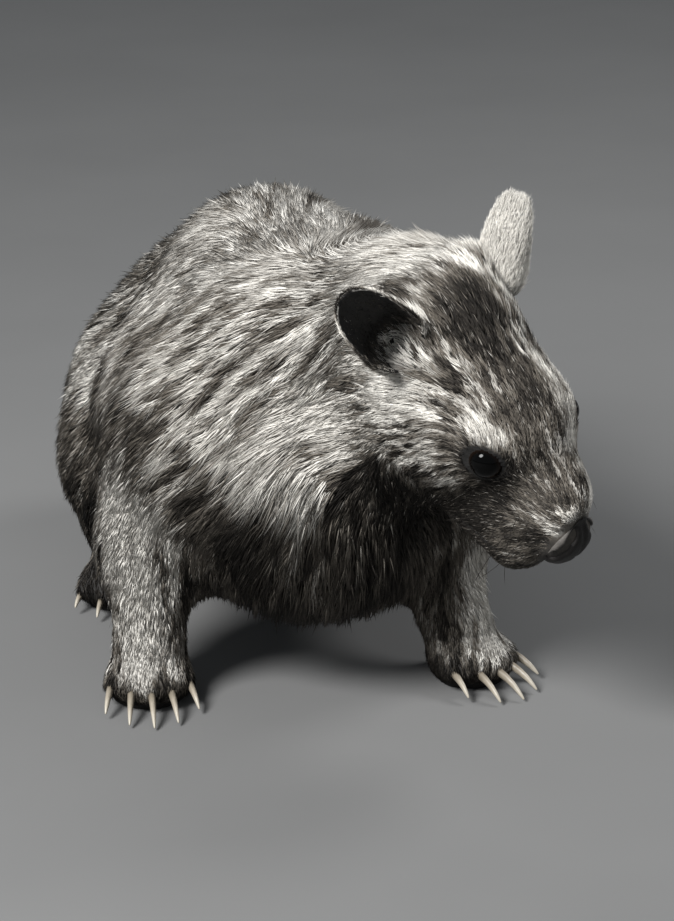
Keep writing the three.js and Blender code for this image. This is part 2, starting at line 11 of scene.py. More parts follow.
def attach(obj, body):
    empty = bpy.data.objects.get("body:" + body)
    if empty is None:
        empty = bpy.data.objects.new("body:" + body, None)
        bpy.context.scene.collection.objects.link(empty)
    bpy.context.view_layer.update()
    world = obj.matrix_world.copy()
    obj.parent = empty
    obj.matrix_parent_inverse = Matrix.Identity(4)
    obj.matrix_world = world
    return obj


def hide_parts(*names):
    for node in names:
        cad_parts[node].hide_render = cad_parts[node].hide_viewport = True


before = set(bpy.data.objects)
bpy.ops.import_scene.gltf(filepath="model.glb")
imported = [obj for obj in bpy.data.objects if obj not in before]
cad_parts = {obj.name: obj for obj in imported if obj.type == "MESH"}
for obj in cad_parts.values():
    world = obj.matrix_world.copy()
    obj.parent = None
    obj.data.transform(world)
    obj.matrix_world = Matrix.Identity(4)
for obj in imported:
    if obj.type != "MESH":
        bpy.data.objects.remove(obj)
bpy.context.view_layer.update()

bl_info = {
    "name": "Standing wombat",
    "version": (1, 0, 0),
    "blender": (4, 5, 0),
    "location": "View3D > Sidebar > Wombat",
    "description": "Dresses the solids of a life-size wombat with skin, coat, eyes, nose and claws",
    "category": "Object",
}

MM = 0.001
SIDES = {"right": -1, "left": 1}
SEED = 7

# The head turns and tips about the point where the neck carries the skull.
HEAD_HINGE = np.array((51.0, -189.39, 302.0)) * MM
HEAD_YAW = 43.0
HEAD_PITCH = 33.0
HEAD_ROLL = 15.0

# Places on the head are given in millimetres ahead, to its left and up from the hinge.
EYE_PLACE = (120.0, 37.0, -3.0)
EYE_LOOK = (0.28, 0.9, 0.32)
EYE_UP = (0.0, 0.0, 1.0)
# The middle of the nose pad's back, and the way that the pad faces.
PAD_CUT = (184.0, 0.0, -44.0)
PAD_CUT_WAY = (0.99, 0.0, -0.1)

# Half of the lids' opening along and across, in eyeball radii, and how far the closed lid stands out.
SLIT_LONG = 1.0
SLIT_HIGH = 0.82
LID_STAND = 2.6 * MM
# The lids' section: degrees beyond the opening, and millimetres off the ball.
LID_PROFILE = (
    (-3, -0.7), (0, 0.05), (1.0, 0.6), (2.5, 0.9), (5, 0.9), (8, 0.6), (11, 0.1), (14, -0.8), (10, -1.4),
    (4, -1.2))
LID_STEPS = 72
CORNEA_ANGLE = math.radians(48)
CORNEA_BULGE = 0.05

# A nostril's line from its front to its tail, how wide it is either side of it, and how deep.
NOSTRIL = ((187.0, 6.0, -27.0), (193.0, 11.0, -43.0), (186.0, 19.5, -57.0))
NOSTRIL_WIDTHS = (1.8, 5.2, 1.6)
NOSTRIL_DEPTH = 7.0
CLEFT_DEPTH = 1.8 * MM
MOUTH_DEPTH = 3.2 * MM
MOUTH_WIDTH = 1.9 * MM

# The ears: root on the head, spread against the usual width, and the ways of the axis and of the cup.
EAR_ROOT = (29.0, 47.0, 28.0)
EAR_SUNK = 5 * MM
EAR_SPREAD = {"right": 1.2, "left": 1.0}
EAR_WAYS = {
    "right": ((-0.49, -0.58, 0.65), (0.86, -0.3, 0.41)),
    "left": ((-0.3, 0.21, 0.93), (-0.22, 0.9, -0.38)),
}
WHISKER_ROOTS = (
    (168, 26, -46), (162, 28, -38), (162, 29, -52), (155, 31, -33), (155, 31, -46), (155, 31, -58),
    (147, 33, -40), (147, 33, -52), (139, 35, -46), (150, 32, -28), (164, 27, -60), (104, 52, -18))

# Feet: middle on the floor in millimetres, and degrees turned out.
FEET = {
    "forefoot_right": ((-126.0, -127.39), 3.0),
    "forefoot_left": ((111.0, -133.39), 28.0),
    "hindfoot_right": ((-126.0, 64.61), 14.0),
    "hindfoot_left": ((120.0, 72.61), 12.0),
}
# Toes: how many, how far they spread, how far the middle ones reach and the outer ones stand back.
TOES = {"forefoot": (5, 26, 31, 15), "hindfoot": (4, 24, 46, 12)}
TOE_RADII = np.array((15.0, 7.2, 9.5)) * MM

FLESH = ["head", "neck", "torso", "tail"]
for limb in ("foreleg", "hindleg", "forefoot", "hindfoot"):
    FLESH += [f"{limb}_right", f"{limb}_left"]
NODE_CODE = {node: code for code, node in enumerate(FLESH + ["nose", "lid_bulge", "toes"])}

# The solids are grown this much, so that they overlap, before one skin is drawn round them.
FLESH_OVERLAP = 0.4 * MM
SKIN_VOXEL = 3.6 * MM
CAGE_VOXEL = 13 * MM
# Ahead of this place on the head, the skin is twice as fine.
FINE_FACE = 92
# A normal's height under which a surface counts as the underside.
UNDERSIDE = -0.25

# Coat of each part: depth, tuft length, tuft width and spacing of the roots, in millimetres.
COAT = {
    "torso": (4.5, 19.5, 1.0, 1.55),
    "neck": (5.0, 20.5, 0.92, 1.4),
    "tail": (3.5, 12.0, 0.95, 1.7),
    "head": (2.8, 11.0, 0.67, 1.09),
    "nose": (4.0, 4.0, 0.5, 1.1),
    "lid_bulge": (2.2, 4.5, 0.45, 0.85),
    "foreleg": (3.2, 12.0, 0.82, 1.33),
    "hindleg": (3.6, 13.5, 0.94, 1.66),
    "forefoot": (1.7, 6.5, 0.64, 1.13),
    "hindfoot": (1.7, 6.5, 0.74, 1.5),
    "toes": (1.4, 4.5, 0.58, 1.08),
}

# The coat's share of its size along the face, by millimetres ahead of the hinge.
FACE_COAT = ((15, 60, 105, 140, 172), (1.35, 1.0, 0.72, 0.55, 0.42))
# Places where the hair is longer: place in millimetres, reach and how many times as long.
LONG_HAIR = (
    ((-30, -186, 190), 30, 1.9), ((0, -150, 100), 80, 1.5), ((0, 60, 60), 120, 1.4),
)

# The lie of the coat: place and the way that the tips point. These are mirrored across the body.
TRUNK_LIE = (
    # Back and flank.
    ((-60, 48, 296), (-0.68, 0.34, -0.65)), ((-100, 47, 247), (-0.6, 0.06, -0.8)),
    ((-137, -9, 204), (-0.43, -0.1, -0.83)),
    # Shoulder and the base of the neck.
    ((-79, -90, 273), (-0.8, -0.04, -0.6)), ((-123, -145, 212), (-0.61, 0.08, -0.79)),
    ((-13, -86, 313), (-0.92, 0.19, -0.35)), ((-50, -136, 271), (-0.86, -0.03, -0.51)),
    ((-89, -160, 208), (-0.82, -0.18, -0.55)), ((-98, -166, 177), (-0.81, 0.21, -0.55)),
    # Rump and thigh.
    ((-100, 201, 220), (0.2, 0.7, -0.7)), ((-140, 110, 200), (-0.3, 0.45, -0.83)),
    ((-140, 60, 90), (-0.2, 0.35, -0.9)),
    # Foreleg and forefoot.
    ((-131, -146, 160), (-0.26, 0.17, -0.95)), ((-125, -142, 96), (-0.15, 0.06, -0.99)),
    ((-90, -135, 90), (0.1, 0.3, -0.95)), ((-127, -151, 34), (-0.08, -0.54, -0.84)),
    ((-127, -170, 20), (0.0, -0.9, -0.3)),
    # Hind leg and hind foot.
    ((-160, 57, 109), (-0.38, 0.26, -0.89)), ((-126, 40, 34), (0.0, -0.75, -0.6)),
    ((-126, 100, 30), (0.0, 0.2, -0.95)),
)
MIDLINE_LIE = (
    # The spine, from the shoulders to the tail.
    ((0, -60, 310), (0.0, 1.0, -0.1)), ((0, 0, 318), (0.0, 1.0, -0.1)),
    ((0, 60, 320), (0.0, 1.0, -0.1)), ((0, 130, 295), (0.0, 1.0, -0.4)),
    ((0, 200, 250), (0.0, 0.8, -0.6)), ((0, 290, 150), (0.0, 0.4, -0.9)),
    # Belly and chest.
    ((0, 100, 80), (0.0, 1.0, 0.0)), ((0, -20, 80), (0.0, 1.0, 0.0)),
    ((0, -130, 100), (0.0, 0.5, -0.85)), ((0, -170, 140), (0.0, 0.2, -0.95)),
)
# These aren't mirrored, because the neck is turned.
NECK_LIE = (
    # The fringe below the cheek.
    ((-6, -174, 274), (-0.54, 0.19, -0.82)), ((-21, -180, 225), (-0.76, 0.35, -0.55)),
    ((-57, -177, 189), (-0.62, 0.03, -0.79)), ((-24, -193, 178), (-0.35, -0.12, -0.93)),
    ((6, -204, 210), (-0.74, 0.6, -0.3)),
    # Under the jaw.
    ((38, -220, 192), (0.37, 0.42, -0.83)),
    # Nape and behind the ear.
    ((51, -170, 342), (-0.9, 0.35, -0.19)), ((9, -129, 317), (-0.61, 0.71, -0.37)),
    ((13, -221, 249), (-0.41, 0.84, -0.36)),
    # The far side of the neck.
    ((90, -120, 290), (0.6, 0.5, -0.6)), ((115, -150, 230), (0.5, 0.45, -0.75)),
    ((110, -180, 180), (0.35, 0.35, -0.87)),
    # The left foreleg.
    ((115, -137, 77), (0.33, 0.19, -0.93)),
)
# Places and ways on the head: ahead, left and up. These are mirrored across the head.
HEAD_LIE = (
    # Forehead and crown.
    ((105, 22, 36), (-0.92, 0.0, 0.35)), ((55, 0, 57), (-0.93, 0.0, 0.31)),
    ((15, 5, 56), (-0.95, 0.0, -0.3)), ((53, 37, 44), (-0.94, 0.0, 0.35)),
    # Behind the eye and on the cheek.
    ((72, 47, 23), (-0.95, 0.31, -0.06)), ((55, 60, 1), (-0.67, 0.17, -0.72)),
    ((80, 61, -10), (-0.64, 0.21, -0.74)), ((97, 54, -42), (-0.47, -0.12, -0.88)),
    # Eyebrow, bridge and muzzle.
    ((118, 40, 15), (-0.8, 0.0, 0.55)), ((158, 7, 7), (-0.84, 0.0, 0.52)),
    ((157, 26, -15), (-0.96, 0.18, 0.22)), ((163, 31, -63), (-0.71, 0.0, -0.7)),
    ((132, 2, 30), (-0.8, 0.0, 0.58)),
    # Under the jaw.
    ((140, 0, -105), (-1.0, 0.0, -0.1)), ((60, 0, -80), (-0.9, 0.0, -0.4)),
)

# Markings and painted shade: place and reach in millimetres, and tone from 0 for black to 1 for silver. These
# are mirrored.
TRUNK_MARKS_AND_SHADE = (
    # The pale back.
    ((0, 33, 320), 75, 0.7), ((20, -19, 326), 50, 0.76), ((-50, 37, 302), 40, 0.68),
    ((-38, -60, 307), 42, 0.7),
    # The ribs, with a dark patch.
    ((-80, 43, 271), 32, 0.74), ((-119, 20, 228), 34, 0.46), ((-106, -5, 240), 22, 0.32),
    # The shoulder: a pale band, a dark patch and the pale edge below it.
    ((-81, -102, 270), 16, 0.6), ((-109, -125, 245), 20, 0.66), ((-96, -134, 243), 20, 0.76),
    ((-123, -145, 212), 16, 0.16), ((-114, -158, 197), 13, 1.0), ((-42, -133, 277), 28, 0.6),
    # The thigh, pale above, and dark below with painted shade.
    ((-137, 108, 180), 36, 0.88), ((-158, 66, 130), 42, 0.38), ((-150, 60, 80), 36, 0.26),
    # The rump.
    ((-70, 210, 190), 70, 0.5), ((0, 300, 150), 60, 0.5),
    # The foreleg: pale outside and over the foot, dark inside, partly dark fur and partly painted shade
    # between the legs.
    ((-144, -132, 155), 23, 1.0), ((-142, -138, 127), 23, 1.0), ((-139, -139, 96), 22, 1.0),
    ((-136, -140, 65), 18, 1.0), ((-118, -155, 147), 17, 1.0), ((-114, -145, 104), 13, 0.62),
    ((-94, -164, 149), 20, 0.3), ((-92, -141, 101), 20, 0.34), ((-127, -148, 44), 21, 1.0),
    ((-108, -144, 41), 11, 0.6),
    # The dark chest: partly dark fur, partly painted shade below the head and between the forelegs.
    ((-81, -171, 168), 14, 0.2), ((-51, -184, 157), 20, 0.0), ((-20, -194, 158), 15, 0.16),
    ((0, -192, 130), 42, 0.42), ((0, -150, 90), 70, 0.22),
    # The belly: partly dark fur, partly painted shade under the body.
    ((0, -60, 60), 80, 0.1), ((0, 80, 60), 110, 0.16),
)
# The turned neck and the left foreleg, not mirrored.
NECK_MARKS_AND_SHADE = (
    # The pale fringe, from below the ear to the chest.
    ((6, -206, 269), 14, 0.72), ((-9, -188, 242), 14, 1.0), ((-28, -176, 224), 18, 1.0),
    ((-60, -156, 234), 15, 0.8), ((-68, -163, 207), 17, 0.95), ((-53, -177, 186), 16, 1.0),
    ((-33, -186, 185), 17, 1.0), ((-16, -190, 195), 14, 1.0), ((3, -202, 224), 18, 1.0),
    ((9, -205, 207), 13, 1.0),
    # Painted shadow in the hollow under the jaw, and the pale hair above it.
    ((11, -204, 183), 11, 0.0), ((20, -223, 223), 12, 0.88),
    # The nape.
    ((52, -164, 344), 40, 0.78), ((42, -106, 335), 35, 0.76),
    # Behind the ear.
    ((-10, -156, 283), 13, 0.72), ((17, -141, 324), 22, 0.64),
    # The far side of the neck.
    ((100, -160, 260), 45, 0.75), ((100, -180, 170), 30, 0.25),
    # The left foreleg: pale outside, dark inside, partly dark fur and partly painted shade.
    ((122, -135, 90), 22, 1.0), ((125, -138, 60), 19, 1.0), ((88, -145, 90), 18, 0.2),
    ((96, -147, 50), 12, 0.3),
)
# On the head: ahead, left and up, mirrored across it.
HEAD_MARKS_AND_SHADE = (
    # The crown.
    ((3, 0, 51), 24, 0.6), ((21, 32, 49), 16, 0.82),
    # The dark patch of the forehead.
    ((35, 15, 59), 13, 0.04), ((46, 7, 59), 16, 0.0), ((63, 13, 53), 12, 0.0),
    # The bridge.
    ((82, 6, 47), 10, 0.12), ((102, 4, 42), 11, 0.12), ((120, 7, 36), 11, 0.1), ((109, 17, 37), 8, 0.5),
    ((139, 10, 22), 10, 0.34), ((162, 11, 3), 10, 0.36),
    # The side of the muzzle, with a painted shadow under the whisker pad as its dark spot.
    ((153, 26, -8), 12, 0.4), ((158, 28, -36), 10, 0.5), ((172, 24, -42), 8, 0.02),
    # Round the nose.
    ((180, 19, -30), 6, 0.95), ((182, 12, -14), 6, 0.8), ((175, 8, -4), 6, 0.35),
    # The eyebrow.
    ((107, 43, 18), 9, 1.0), ((119, 39, 20), 7, 0.85), ((116, 26, 30), 9, 0.4),
    # Behind and below the eye.
    ((102, 54, -6), 9, 0.22), ((89, 59, -12), 9, 0.8), ((106, 53, -32), 11, 0.74),
    # The dark lower cheek and lip.
    ((135, 35, -35), 14, 0.03), ((126, 36, -69), 19, 0.02), ((143, 32, -82), 17, 0.0),
    # The chin.
    ((172, 27, -68), 10, 0.42), ((157, 32, -70), 12, 0.4),
    # Painted shade under the jaw.
    ((66, 54, -79), 16, 0.1), ((88, 35, -91), 24, 0.1),
    # The pale cheek and the temple.
    ((45, 62, -9), 18, 1.0), ((64, 55, 14), 17, 0.82), ((68, 45, 28), 13, 0.38),
    ((58, 29, 49), 13, 0.36), ((41, 58, 17), 12, 1.0),
)
# The left cheek and the left edge of the bridge are pale, partly pale hair and partly a painted highlight
# where the rim light falls: not mirrored.
LEFT_PALE_AND_HIGHLIGHT_MARKS = (
    ((36, 49, 48), 14, 0.85), ((82, 20, 43), 8, 0.95), ((100, 24, 38), 10, 1.0),
    ((116, 22, 33), 11, 1.0), ((131, 19, 25), 11, 1.0), ((148, 17, 13), 11, 1.0),
    ((165, 13, 0), 7, 1.0), ((176, 10, -12), 6, 1.0),
)
# Tone away from all marks, and its weight.
BASE_TONE = 0.56
BASE_WEIGHT = 0.15
# Weight of a mark within its reach, and how many times its reach its faint tail goes on.
MARK_STRENGTH = 12.0
TAIL_REACH = 2.3
# Painted shade darkens the toes and all else near the floor from this height in millimetres down, and the
# rims of the eyes are nearly black.
TOE_SHADE_HEIGHT = 25.0
TOE_SHADE_DARKNESS = 0.8
RIM_DARKNESS = 0.95

# Share of the tufts that are the middle of a lock, and of a clump of locks.
LOCK_SHARE = 0.1
EAR_LOCK_SHARE = 0.2
CLUMP_SHARE = 0.016
# Degrees that a tuft stands up at its root and at its tip, and the share of stray tufts.
ROOT_LIFT = 23
TIP_LIFT = 5
STRAY_SHARE = 0.02
# Places of a tuft's rings from root to tip, and a tuft's width on the bake map.
TUFT_RINGS = np.array((0.36,))
WHISKER_RINGS = np.array((0.08, 0.3, 0.55, 0.8))
PATCH = 0.003

CAMERA_PLACE = (-0.3377, -2.1219, 0.9306)
CAMERA_TURN = (90 - 20.5, 0.0, -10.0)
WORLD_COLOUR = (0.9, 0.95, 1.0, 1.0)
WORLD_STRENGTH = 0.3


class WombatCoatSettings(bpy.types.PropertyGroup):
    """Sizes and colours of the coat."""

    length: bpy.props.FloatProperty(
        name="Length", description="Length of the tufts, as a share of the usual one",
        default=1.0, min=0.5, max=1.5)
    spacing: bpy.props.FloatProperty(
        name="Spacing", description="Distance between roots, as a share of the usual one",
        default=1.0, min=0.8, max=4.0)
    dark: bpy.props.FloatVectorProperty(
        name="Dark hair", description="Colour of the darkest hair",
        subtype="COLOR", default=(0.012, 0.0105, 0.009))
    middle: bpy.props.FloatVectorProperty(
        name="Middle hair", description="Colour between dark and pale",
        subtype="COLOR", default=(0.17, 0.15, 0.125))
    pale: bpy.props.FloatVectorProperty(
        name="Pale hair", description="Colour of the silvery hair",
        subtype="COLOR", default=(0.86, 0.83, 0.77))


class WombatFaceSettings(bpy.types.PropertyGroup):
    """Sizes of the eyes, ears and nose."""

    eye_radius: bpy.props.FloatProperty(
        name="Eye radius", description="Radius of an eyeball", default=13 * MM, unit="LENGTH")
    ear_length: bpy.props.FloatProperty(
        name="Ear length", description="Length of an ear from root to tip", default=77 * MM, unit="LENGTH")
    ear_width: bpy.props.FloatProperty(
        name="Ear width", description="Width across an ear's widest place", default=38 * MM, unit="LENGTH")
    ear_wall: bpy.props.FloatProperty(
        name="Ear wall", description="Thickness of an ear near its root", default=4.5 * MM, unit="LENGTH")


class WombatStageSettings(bpy.types.PropertyGroup):
    """Camera, floor and light."""

    lens: bpy.props.FloatProperty(
        name="Lens", description="Focal length on a 36 mm frame", default=117.26, subtype="DISTANCE_CAMERA")
    floor: bpy.props.FloatVectorProperty(
        name="Floor", description="Colour of the floor", subtype="COLOR", default=(0.155, 0.155, 0.153))
    key: bpy.props.FloatProperty(
        name="Key light", description="Power of the large light above", default=99.0, unit="POWER")
    rim: bpy.props.FloatProperty(
        name="Rim light", description="Power of the light behind the head", default=22.0, unit="POWER")


def unit(way):
    """The same way, one long."""
    way = np.asarray(way, float)
    return way / np.linalg.norm(way, axis=-1, keepdims=True)


def head_axes():
    """The head's own ahead, left and up ways."""
    yaw, pitch, roll = np.radians((HEAD_YAW, HEAD_PITCH, HEAD_ROLL))
    ahead = np.array((math.sin(yaw) * math.cos(pitch), -math.cos(yaw) * math.cos(pitch), -math.sin(pitch)))
    level = np.array((math.cos(yaw), math.sin(yaw), 0.0))
    left = math.cos(roll) * level + math.sin(roll) * np.cross(ahead, level)
    return np.stack((ahead, left, np.cross(ahead, left)))


HEAD_AXES = head_axes()


def on_head(ahead, left, up):
    """A place on the head, in metres."""
    return HEAD_HINGE + np.array((ahead, left, up)) @ HEAD_AXES * MM


def head_way(ahead, left, up):
    """A way given along the head's own axes."""
    return unit(np.array((ahead, left, up)) @ HEAD_AXES)


def to_head(points):
    """Places as millimetres ahead, left and up on the head."""
    return (points - HEAD_HINGE) @ HEAD_AXES.T / MM


def eye_frame(side):
    """Centre, look, up and along of the eye on one side."""
    centre = on_head(EYE_PLACE[0], side * EYE_PLACE[1], EYE_PLACE[2])
    look = head_way(EYE_LOOK[0], side * EYE_LOOK[1], EYE_LOOK[2])
    up = head_way(*EYE_UP)
    up = unit(up - look * (up @ look))
    return centre, look, up, np.cross(up, look)


def mouth_line(share, side):
    """A place on the mouth's line, from its front at 0 to its corner at 1."""
    return on_head(190 - 72 * share * share, side * (10 + 20 * share), -76 + 2 * share * share)


def foot_place(foot, outward, ahead, height):
    """A place on a foot: millimetres to its outer side, towards its toes and up."""
    (x, y), turn = FEET[foot]
    side = SIDES[foot.split("_")[1]]
    way = np.array((math.sin(math.radians(turn)) * side, -math.cos(math.radians(turn)), 0.0))
    outer = np.array((-way[1] * side, way[0] * side, 0.0))
    return (np.array((x, y, 0.0)) + outer * outward + way * ahead + (0, 0, height)) * MM


def codes(*names):
    """The part labels of these names."""
    return [NODE_CODE[name] for name in names]


def lie_anchors():
    """Every place where the lie of the coat is known, with the way of the tips there."""
    anchors = []
    for place, way in TRUNK_LIE:
        for side in (1, -1):
            mirror = np.array((side, 1, 1))
            anchors.append((place * mirror * MM, unit(way * mirror)))
    for place, way in MIDLINE_LIE + NECK_LIE:
        anchors.append((np.array(place) * MM, unit(way)))
    for place, way in HEAD_LIE:
        for side in (-1, 1):
            mirror = np.array((1, side, 1))
            anchors.append((on_head(*place * mirror), head_way(*way * mirror)))
    return anchors


def lie_at(points, normals, near=14 * MM):
    """The way of the tips at each point, along the surface. Round an eye they point away from it."""
    total = np.zeros_like(points)
    for place, way in lie_anchors():
        far = ((points - place) ** 2).sum(1) + near * near
        total += way / (far * far)[:, None]
    for side in SIDES.values():
        away = points - eye_frame(side)[0]
        far = np.linalg.norm(away, axis=1)
        pull = np.exp(-(((far - 14 * MM) / (6 * MM)) ** 2)) * 0.9
        total = unit(total) + unit(away) * pull[:, None]
    total = total - normals * (total * normals).sum(1)[:, None]
    return unit(total + 1e-9)


def marks_and_painted_light():
    """Every marking, with the painted shade and highlights among them, as place, reach and tone."""
    found = []
    for place, reach, tone in TRUNK_MARKS_AND_SHADE:
        for side in (1, -1):
            found.append((place * np.array((side, 1, 1)) * MM, reach * MM, tone))
    for place, reach, tone in NECK_MARKS_AND_SHADE:
        found.append((np.array(place) * MM, reach * MM, tone))
    for place, reach, tone in HEAD_MARKS_AND_SHADE:
        for side in (-1, 1):
            found.append((on_head(*place * np.array((1, side, 1))), reach * MM, tone))
    for place, reach, tone in LEFT_PALE_AND_HIGHLIGHT_MARKS:
        found.append((on_head(*place), reach * MM, tone))
    return found


def tone_at(points):
    """The tone at each point: markings, painted shade and painted highlights as crisp marks that run into one
    another, dark eye rims, and painted shade near the floor.
    """
    total = np.full(len(points), BASE_TONE * BASE_WEIGHT)
    weight = np.full(len(points), BASE_WEIGHT)
    for place, reach, tone in marks_and_painted_light():
        far = ((points - place) ** 2).sum(1) / (reach * reach)
        near = MARK_STRENGTH * np.exp(-far * far) + np.exp(-far / TAIL_REACH ** 2)
        total += near * tone
        weight += near
    # Painted shade near the floor, deepening towards it, darkens the toes and feet.
    toes = np.clip(1 - points[:, 2] / (TOE_SHADE_HEIGHT * MM), 0, 1)
    return total / weight * (1 - TOE_SHADE_DARKNESS * np.sqrt(toes)) * (1 - RIM_DARKNESS * eye_rim(points))


def on_eye(points, side):
    """Points round one eye: shares of its opening along and up, how far before it, and how far off."""
    radius = bpy.context.scene.wombat_face.eye_radius
    centre, look, up, along = eye_frame(side)
    away = points - centre
    far = np.linalg.norm(away, axis=1)
    return away @ along / (SLIT_LONG * radius), away @ up / (SLIT_HIGH * radius), away @ look, far


def eye_rim(points):
    """How far each point is within the dark rim of an eye, from 0 to 1. The rim is narrow above."""
    radius = bpy.context.scene.wombat_face.eye_radius
    rim = np.zeros(len(points))
    for side in SIDES.values():
        ahead, above, before, far = on_eye(points, side)
        reach = 1.42 - 0.14 * np.clip(above, 0, 1) + 0.35 * np.clip(ahead, 0, 1) ** 2
        near = (far < 2.6 * radius) & (before > -0.5 * radius)
        share = np.clip((reach - np.hypot(ahead, above)) / 0.16, 0, 1)
        rim = np.maximum(rim, np.where(near, share, 0))
    return rim


def deselect():
    """Nothing selected and nothing active."""
    bpy.ops.object.select_all(action="DESELECT")
    bpy.context.view_layer.objects.active = None


def choose(obj):
    """Only this object selected, and active."""
    deselect()
    obj.select_set(True)
    bpy.context.view_layer.objects.active = obj


def apply_modifier(obj, kind, **settings):
    """Adds a modifier, sets it and applies it."""
    choose(obj)
    modifier = obj.modifiers.new(kind.title(), kind)
    for name, value in settings.items():
        setattr(modifier, name, value)
    bpy.ops.object.modifier_apply(modifier=modifier.name)


def new_object(name, mesh):
    """An object of its own from a mesh."""
    obj = bpy.data.objects.new(name, mesh)
    bpy.context.scene.collection.objects.link(obj)
    return obj


def joined(pieces, name):
    """One object from several, under one name."""
    deselect()
    for piece in pieces:
        piece.select_set(True)
    bpy.context.view_layer.objects.active = pieces[0]
    if len(pieces) > 1:
        bpy.ops.object.join()
    whole = bpy.context.view_layer.objects.active
    whole.name = name
    return whole


def turn_faces_out(obj):
    """Turns all faces of a closed object outward."""
    choose(obj)
    bpy.ops.object.mode_set(mode="EDIT")
    bpy.ops.mesh.select_all(action="SELECT")
    bpy.ops.mesh.normals_make_consistent(inside=False)
    bpy.ops.object.mode_set(mode="OBJECT")


def read(items, name, width=1, kind=np.float32):
    """One property of all these items of a mesh."""
    values = np.empty(len(items) * width, kind)
    items.foreach_get(name, values)
    return values.reshape(-1, width) if width > 1 else values


def positions(obj):
    """The places of an object's vertices."""
    return read(obj.data.vertices, "co", 3).astype(float)


def vertex_normals(obj):
    """The normals of an object's vertices."""
    return read(obj.data.vertex_normals, "vector", 3).astype(float)


def move_to(obj, points):
    """Moves an object's vertices to new places."""
    obj.data.vertices.foreach_set("co", points.astype(np.float32).ravel())
    obj.data.update()


def edge_ends(obj):
    """The two vertices of each edge."""
    return read(obj.data.edges, "vertices", 2, np.int32)


def kd_tree(points):
    """A tree that finds the nearest of these points."""
    tree = KDTree(len(points))
    for k, place in enumerate(points):
        tree.insert(place, k)
    tree.balance()
    return tree


def surface_tree(mesh):
    """A tree that finds the nearest face of a mesh."""
    return BVHTree.FromPolygons([v.co for v in mesh.vertices], [tuple(p.vertices) for p in mesh.polygons])


def softened(values, ends, passes, weight=None):
    """Values drawn towards the mean of their neighbours, pass after pass."""
    values = values.reshape(len(values), -1).copy()
    count = len(values)
    degree = np.bincount(ends.ravel(), minlength=count).clip(1)[:, None]
    pull = 0.5 if weight is None else 0.5 * weight[:, None]
    for _ in range(passes):
        mean = np.empty_like(values)
        for k in range(values.shape[1]):
            mean[:, k] = np.bincount(ends[:, 0], values[ends[:, 1], k], minlength=count)
            mean[:, k] += np.bincount(ends[:, 1], values[ends[:, 0], k], minlength=count)
        values += (mean / degree - values) * pull
    return values


def point_attribute(obj, name, values):
    """Stores one number for each vertex."""
    layer = obj.data.attributes.new(name, "FLOAT", "POINT")
    layer.data.foreach_set("value", np.asarray(values, np.float32))


def read_attribute(obj, name):
    """Reads one number for each vertex."""
    return read(obj.data.attributes[name].data, "value").astype(float)


def label_faces(obj, code):
    """Labels all faces of an object as one part of the body."""
    label = obj.data.attributes.new("part", "INT", "FACE")
    label.data.foreach_set("value", np.full(len(obj.data.polygons), code, np.int32))


def node_copies(nodes, name):
    """One new object from copies of CAD nodes, with their loose triangles merged."""
    pieces = []
    for node in nodes:
        piece = new_object(f"{name}_{node}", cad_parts[node].data.copy())
        piece.data.materials.clear()
        label_faces(piece, NODE_CODE.get(node, 0))
        pieces.append(piece)
    whole = joined(pieces, name)
    whole.data.name = name
    bpy.ops.object.mode_set(mode="EDIT")
    bpy.ops.mesh.select_all(action="SELECT")
    bpy.ops.mesh.remove_doubles(threshold=0.01 * MM)
    bpy.ops.object.mode_set(mode="OBJECT")
    return whole


def add_egg(name, centre, radii, axes, code):
    """A ball stretched along three axes, labelled as one part of the body."""
    deselect()
    bpy.ops.mesh.primitive_uv_sphere_add(segments=24, ring_count=14, radius=1.0)
    ball = bpy.context.active_object
    ball.name = name
    move_to(ball, positions(ball) * radii @ axes + centre)
    label_faces(ball, code)
    return ball


def toe_eggs():
    """A toe from palm to claw, in front of each claw's root."""
    eggs = []
    for foot in FEET:
        count, spread, reach, bow = TOES[foot.split("_")[0]]
        for i in range(count):
            share = 2 * i / (count - 1) - 1
            back = share * share * bow
            knuckle = foot_place(foot, share * spread * 0.8, reach - 17 - back, 15.5)
            tip = foot_place(foot, share * spread * 1.07, reach - 1 - back, 13.5)
            along = unit(tip - knuckle)
            outer = unit(np.cross(along, (0, 0, 1.0)))
            axes = np.stack((along, outer, np.cross(outer, along)))
            eggs.append(add_egg(f"toe_{foot}_{i}", (knuckle + tip) / 2, TOE_RADII, axes, NODE_CODE["toes"]))
    return eggs


def flesh_form(name):
    """The flesh as one form: the solids, the lids' bulges and the toes, grown to overlap."""
    form = node_copies(FLESH + ["nose"], name)
    move_to(form, positions(form) + vertex_normals(form) * FLESH_OVERLAP)
    radii = np.full(3, bpy.context.scene.wombat_face.eye_radius + LID_STAND)
    bulges = []
    for side_name, side in SIDES.items():
        centre, look, up, along = eye_frame(side)
        axes = np.stack((along, up, look))
        bulges.append(add_egg(f"bulge_{side_name}", centre, radii, axes, NODE_CODE["lid_bulge"]))
    return joined([form] + bulges + toe_eggs(), name)


def labels_from(source, points):
    """The part label of the source's face nearest to each point."""
    labels = read(source.data.attributes["part"].data, "value", kind=np.int32)
    tree = surface_tree(source.data)
    return labels[np.array([tree.find_nearest(p)[2] for p in points])]


def keep_largest_shell(obj):
    """Deletes every loose shell but the one with the most faces."""
    choose(obj)
    bpy.ops.object.mode_set(mode="EDIT")
    bpy.ops.mesh.select_all(action="SELECT")
    bpy.ops.mesh.separate(type="LOOSE")
    bpy.ops.object.mode_set(mode="OBJECT")
    shells = sorted(bpy.context.selected_objects, key=lambda o: len(o.data.polygons))
    for shell in shells[:-1]:
        bpy.data.objects.remove(shell)
    return shells[-1]


def coat_row(code):
    """The row of the coat's table for a part label."""
    name = list(NODE_CODE)[code]
    return COAT.get(name) or COAT[name.split("_")[0]]


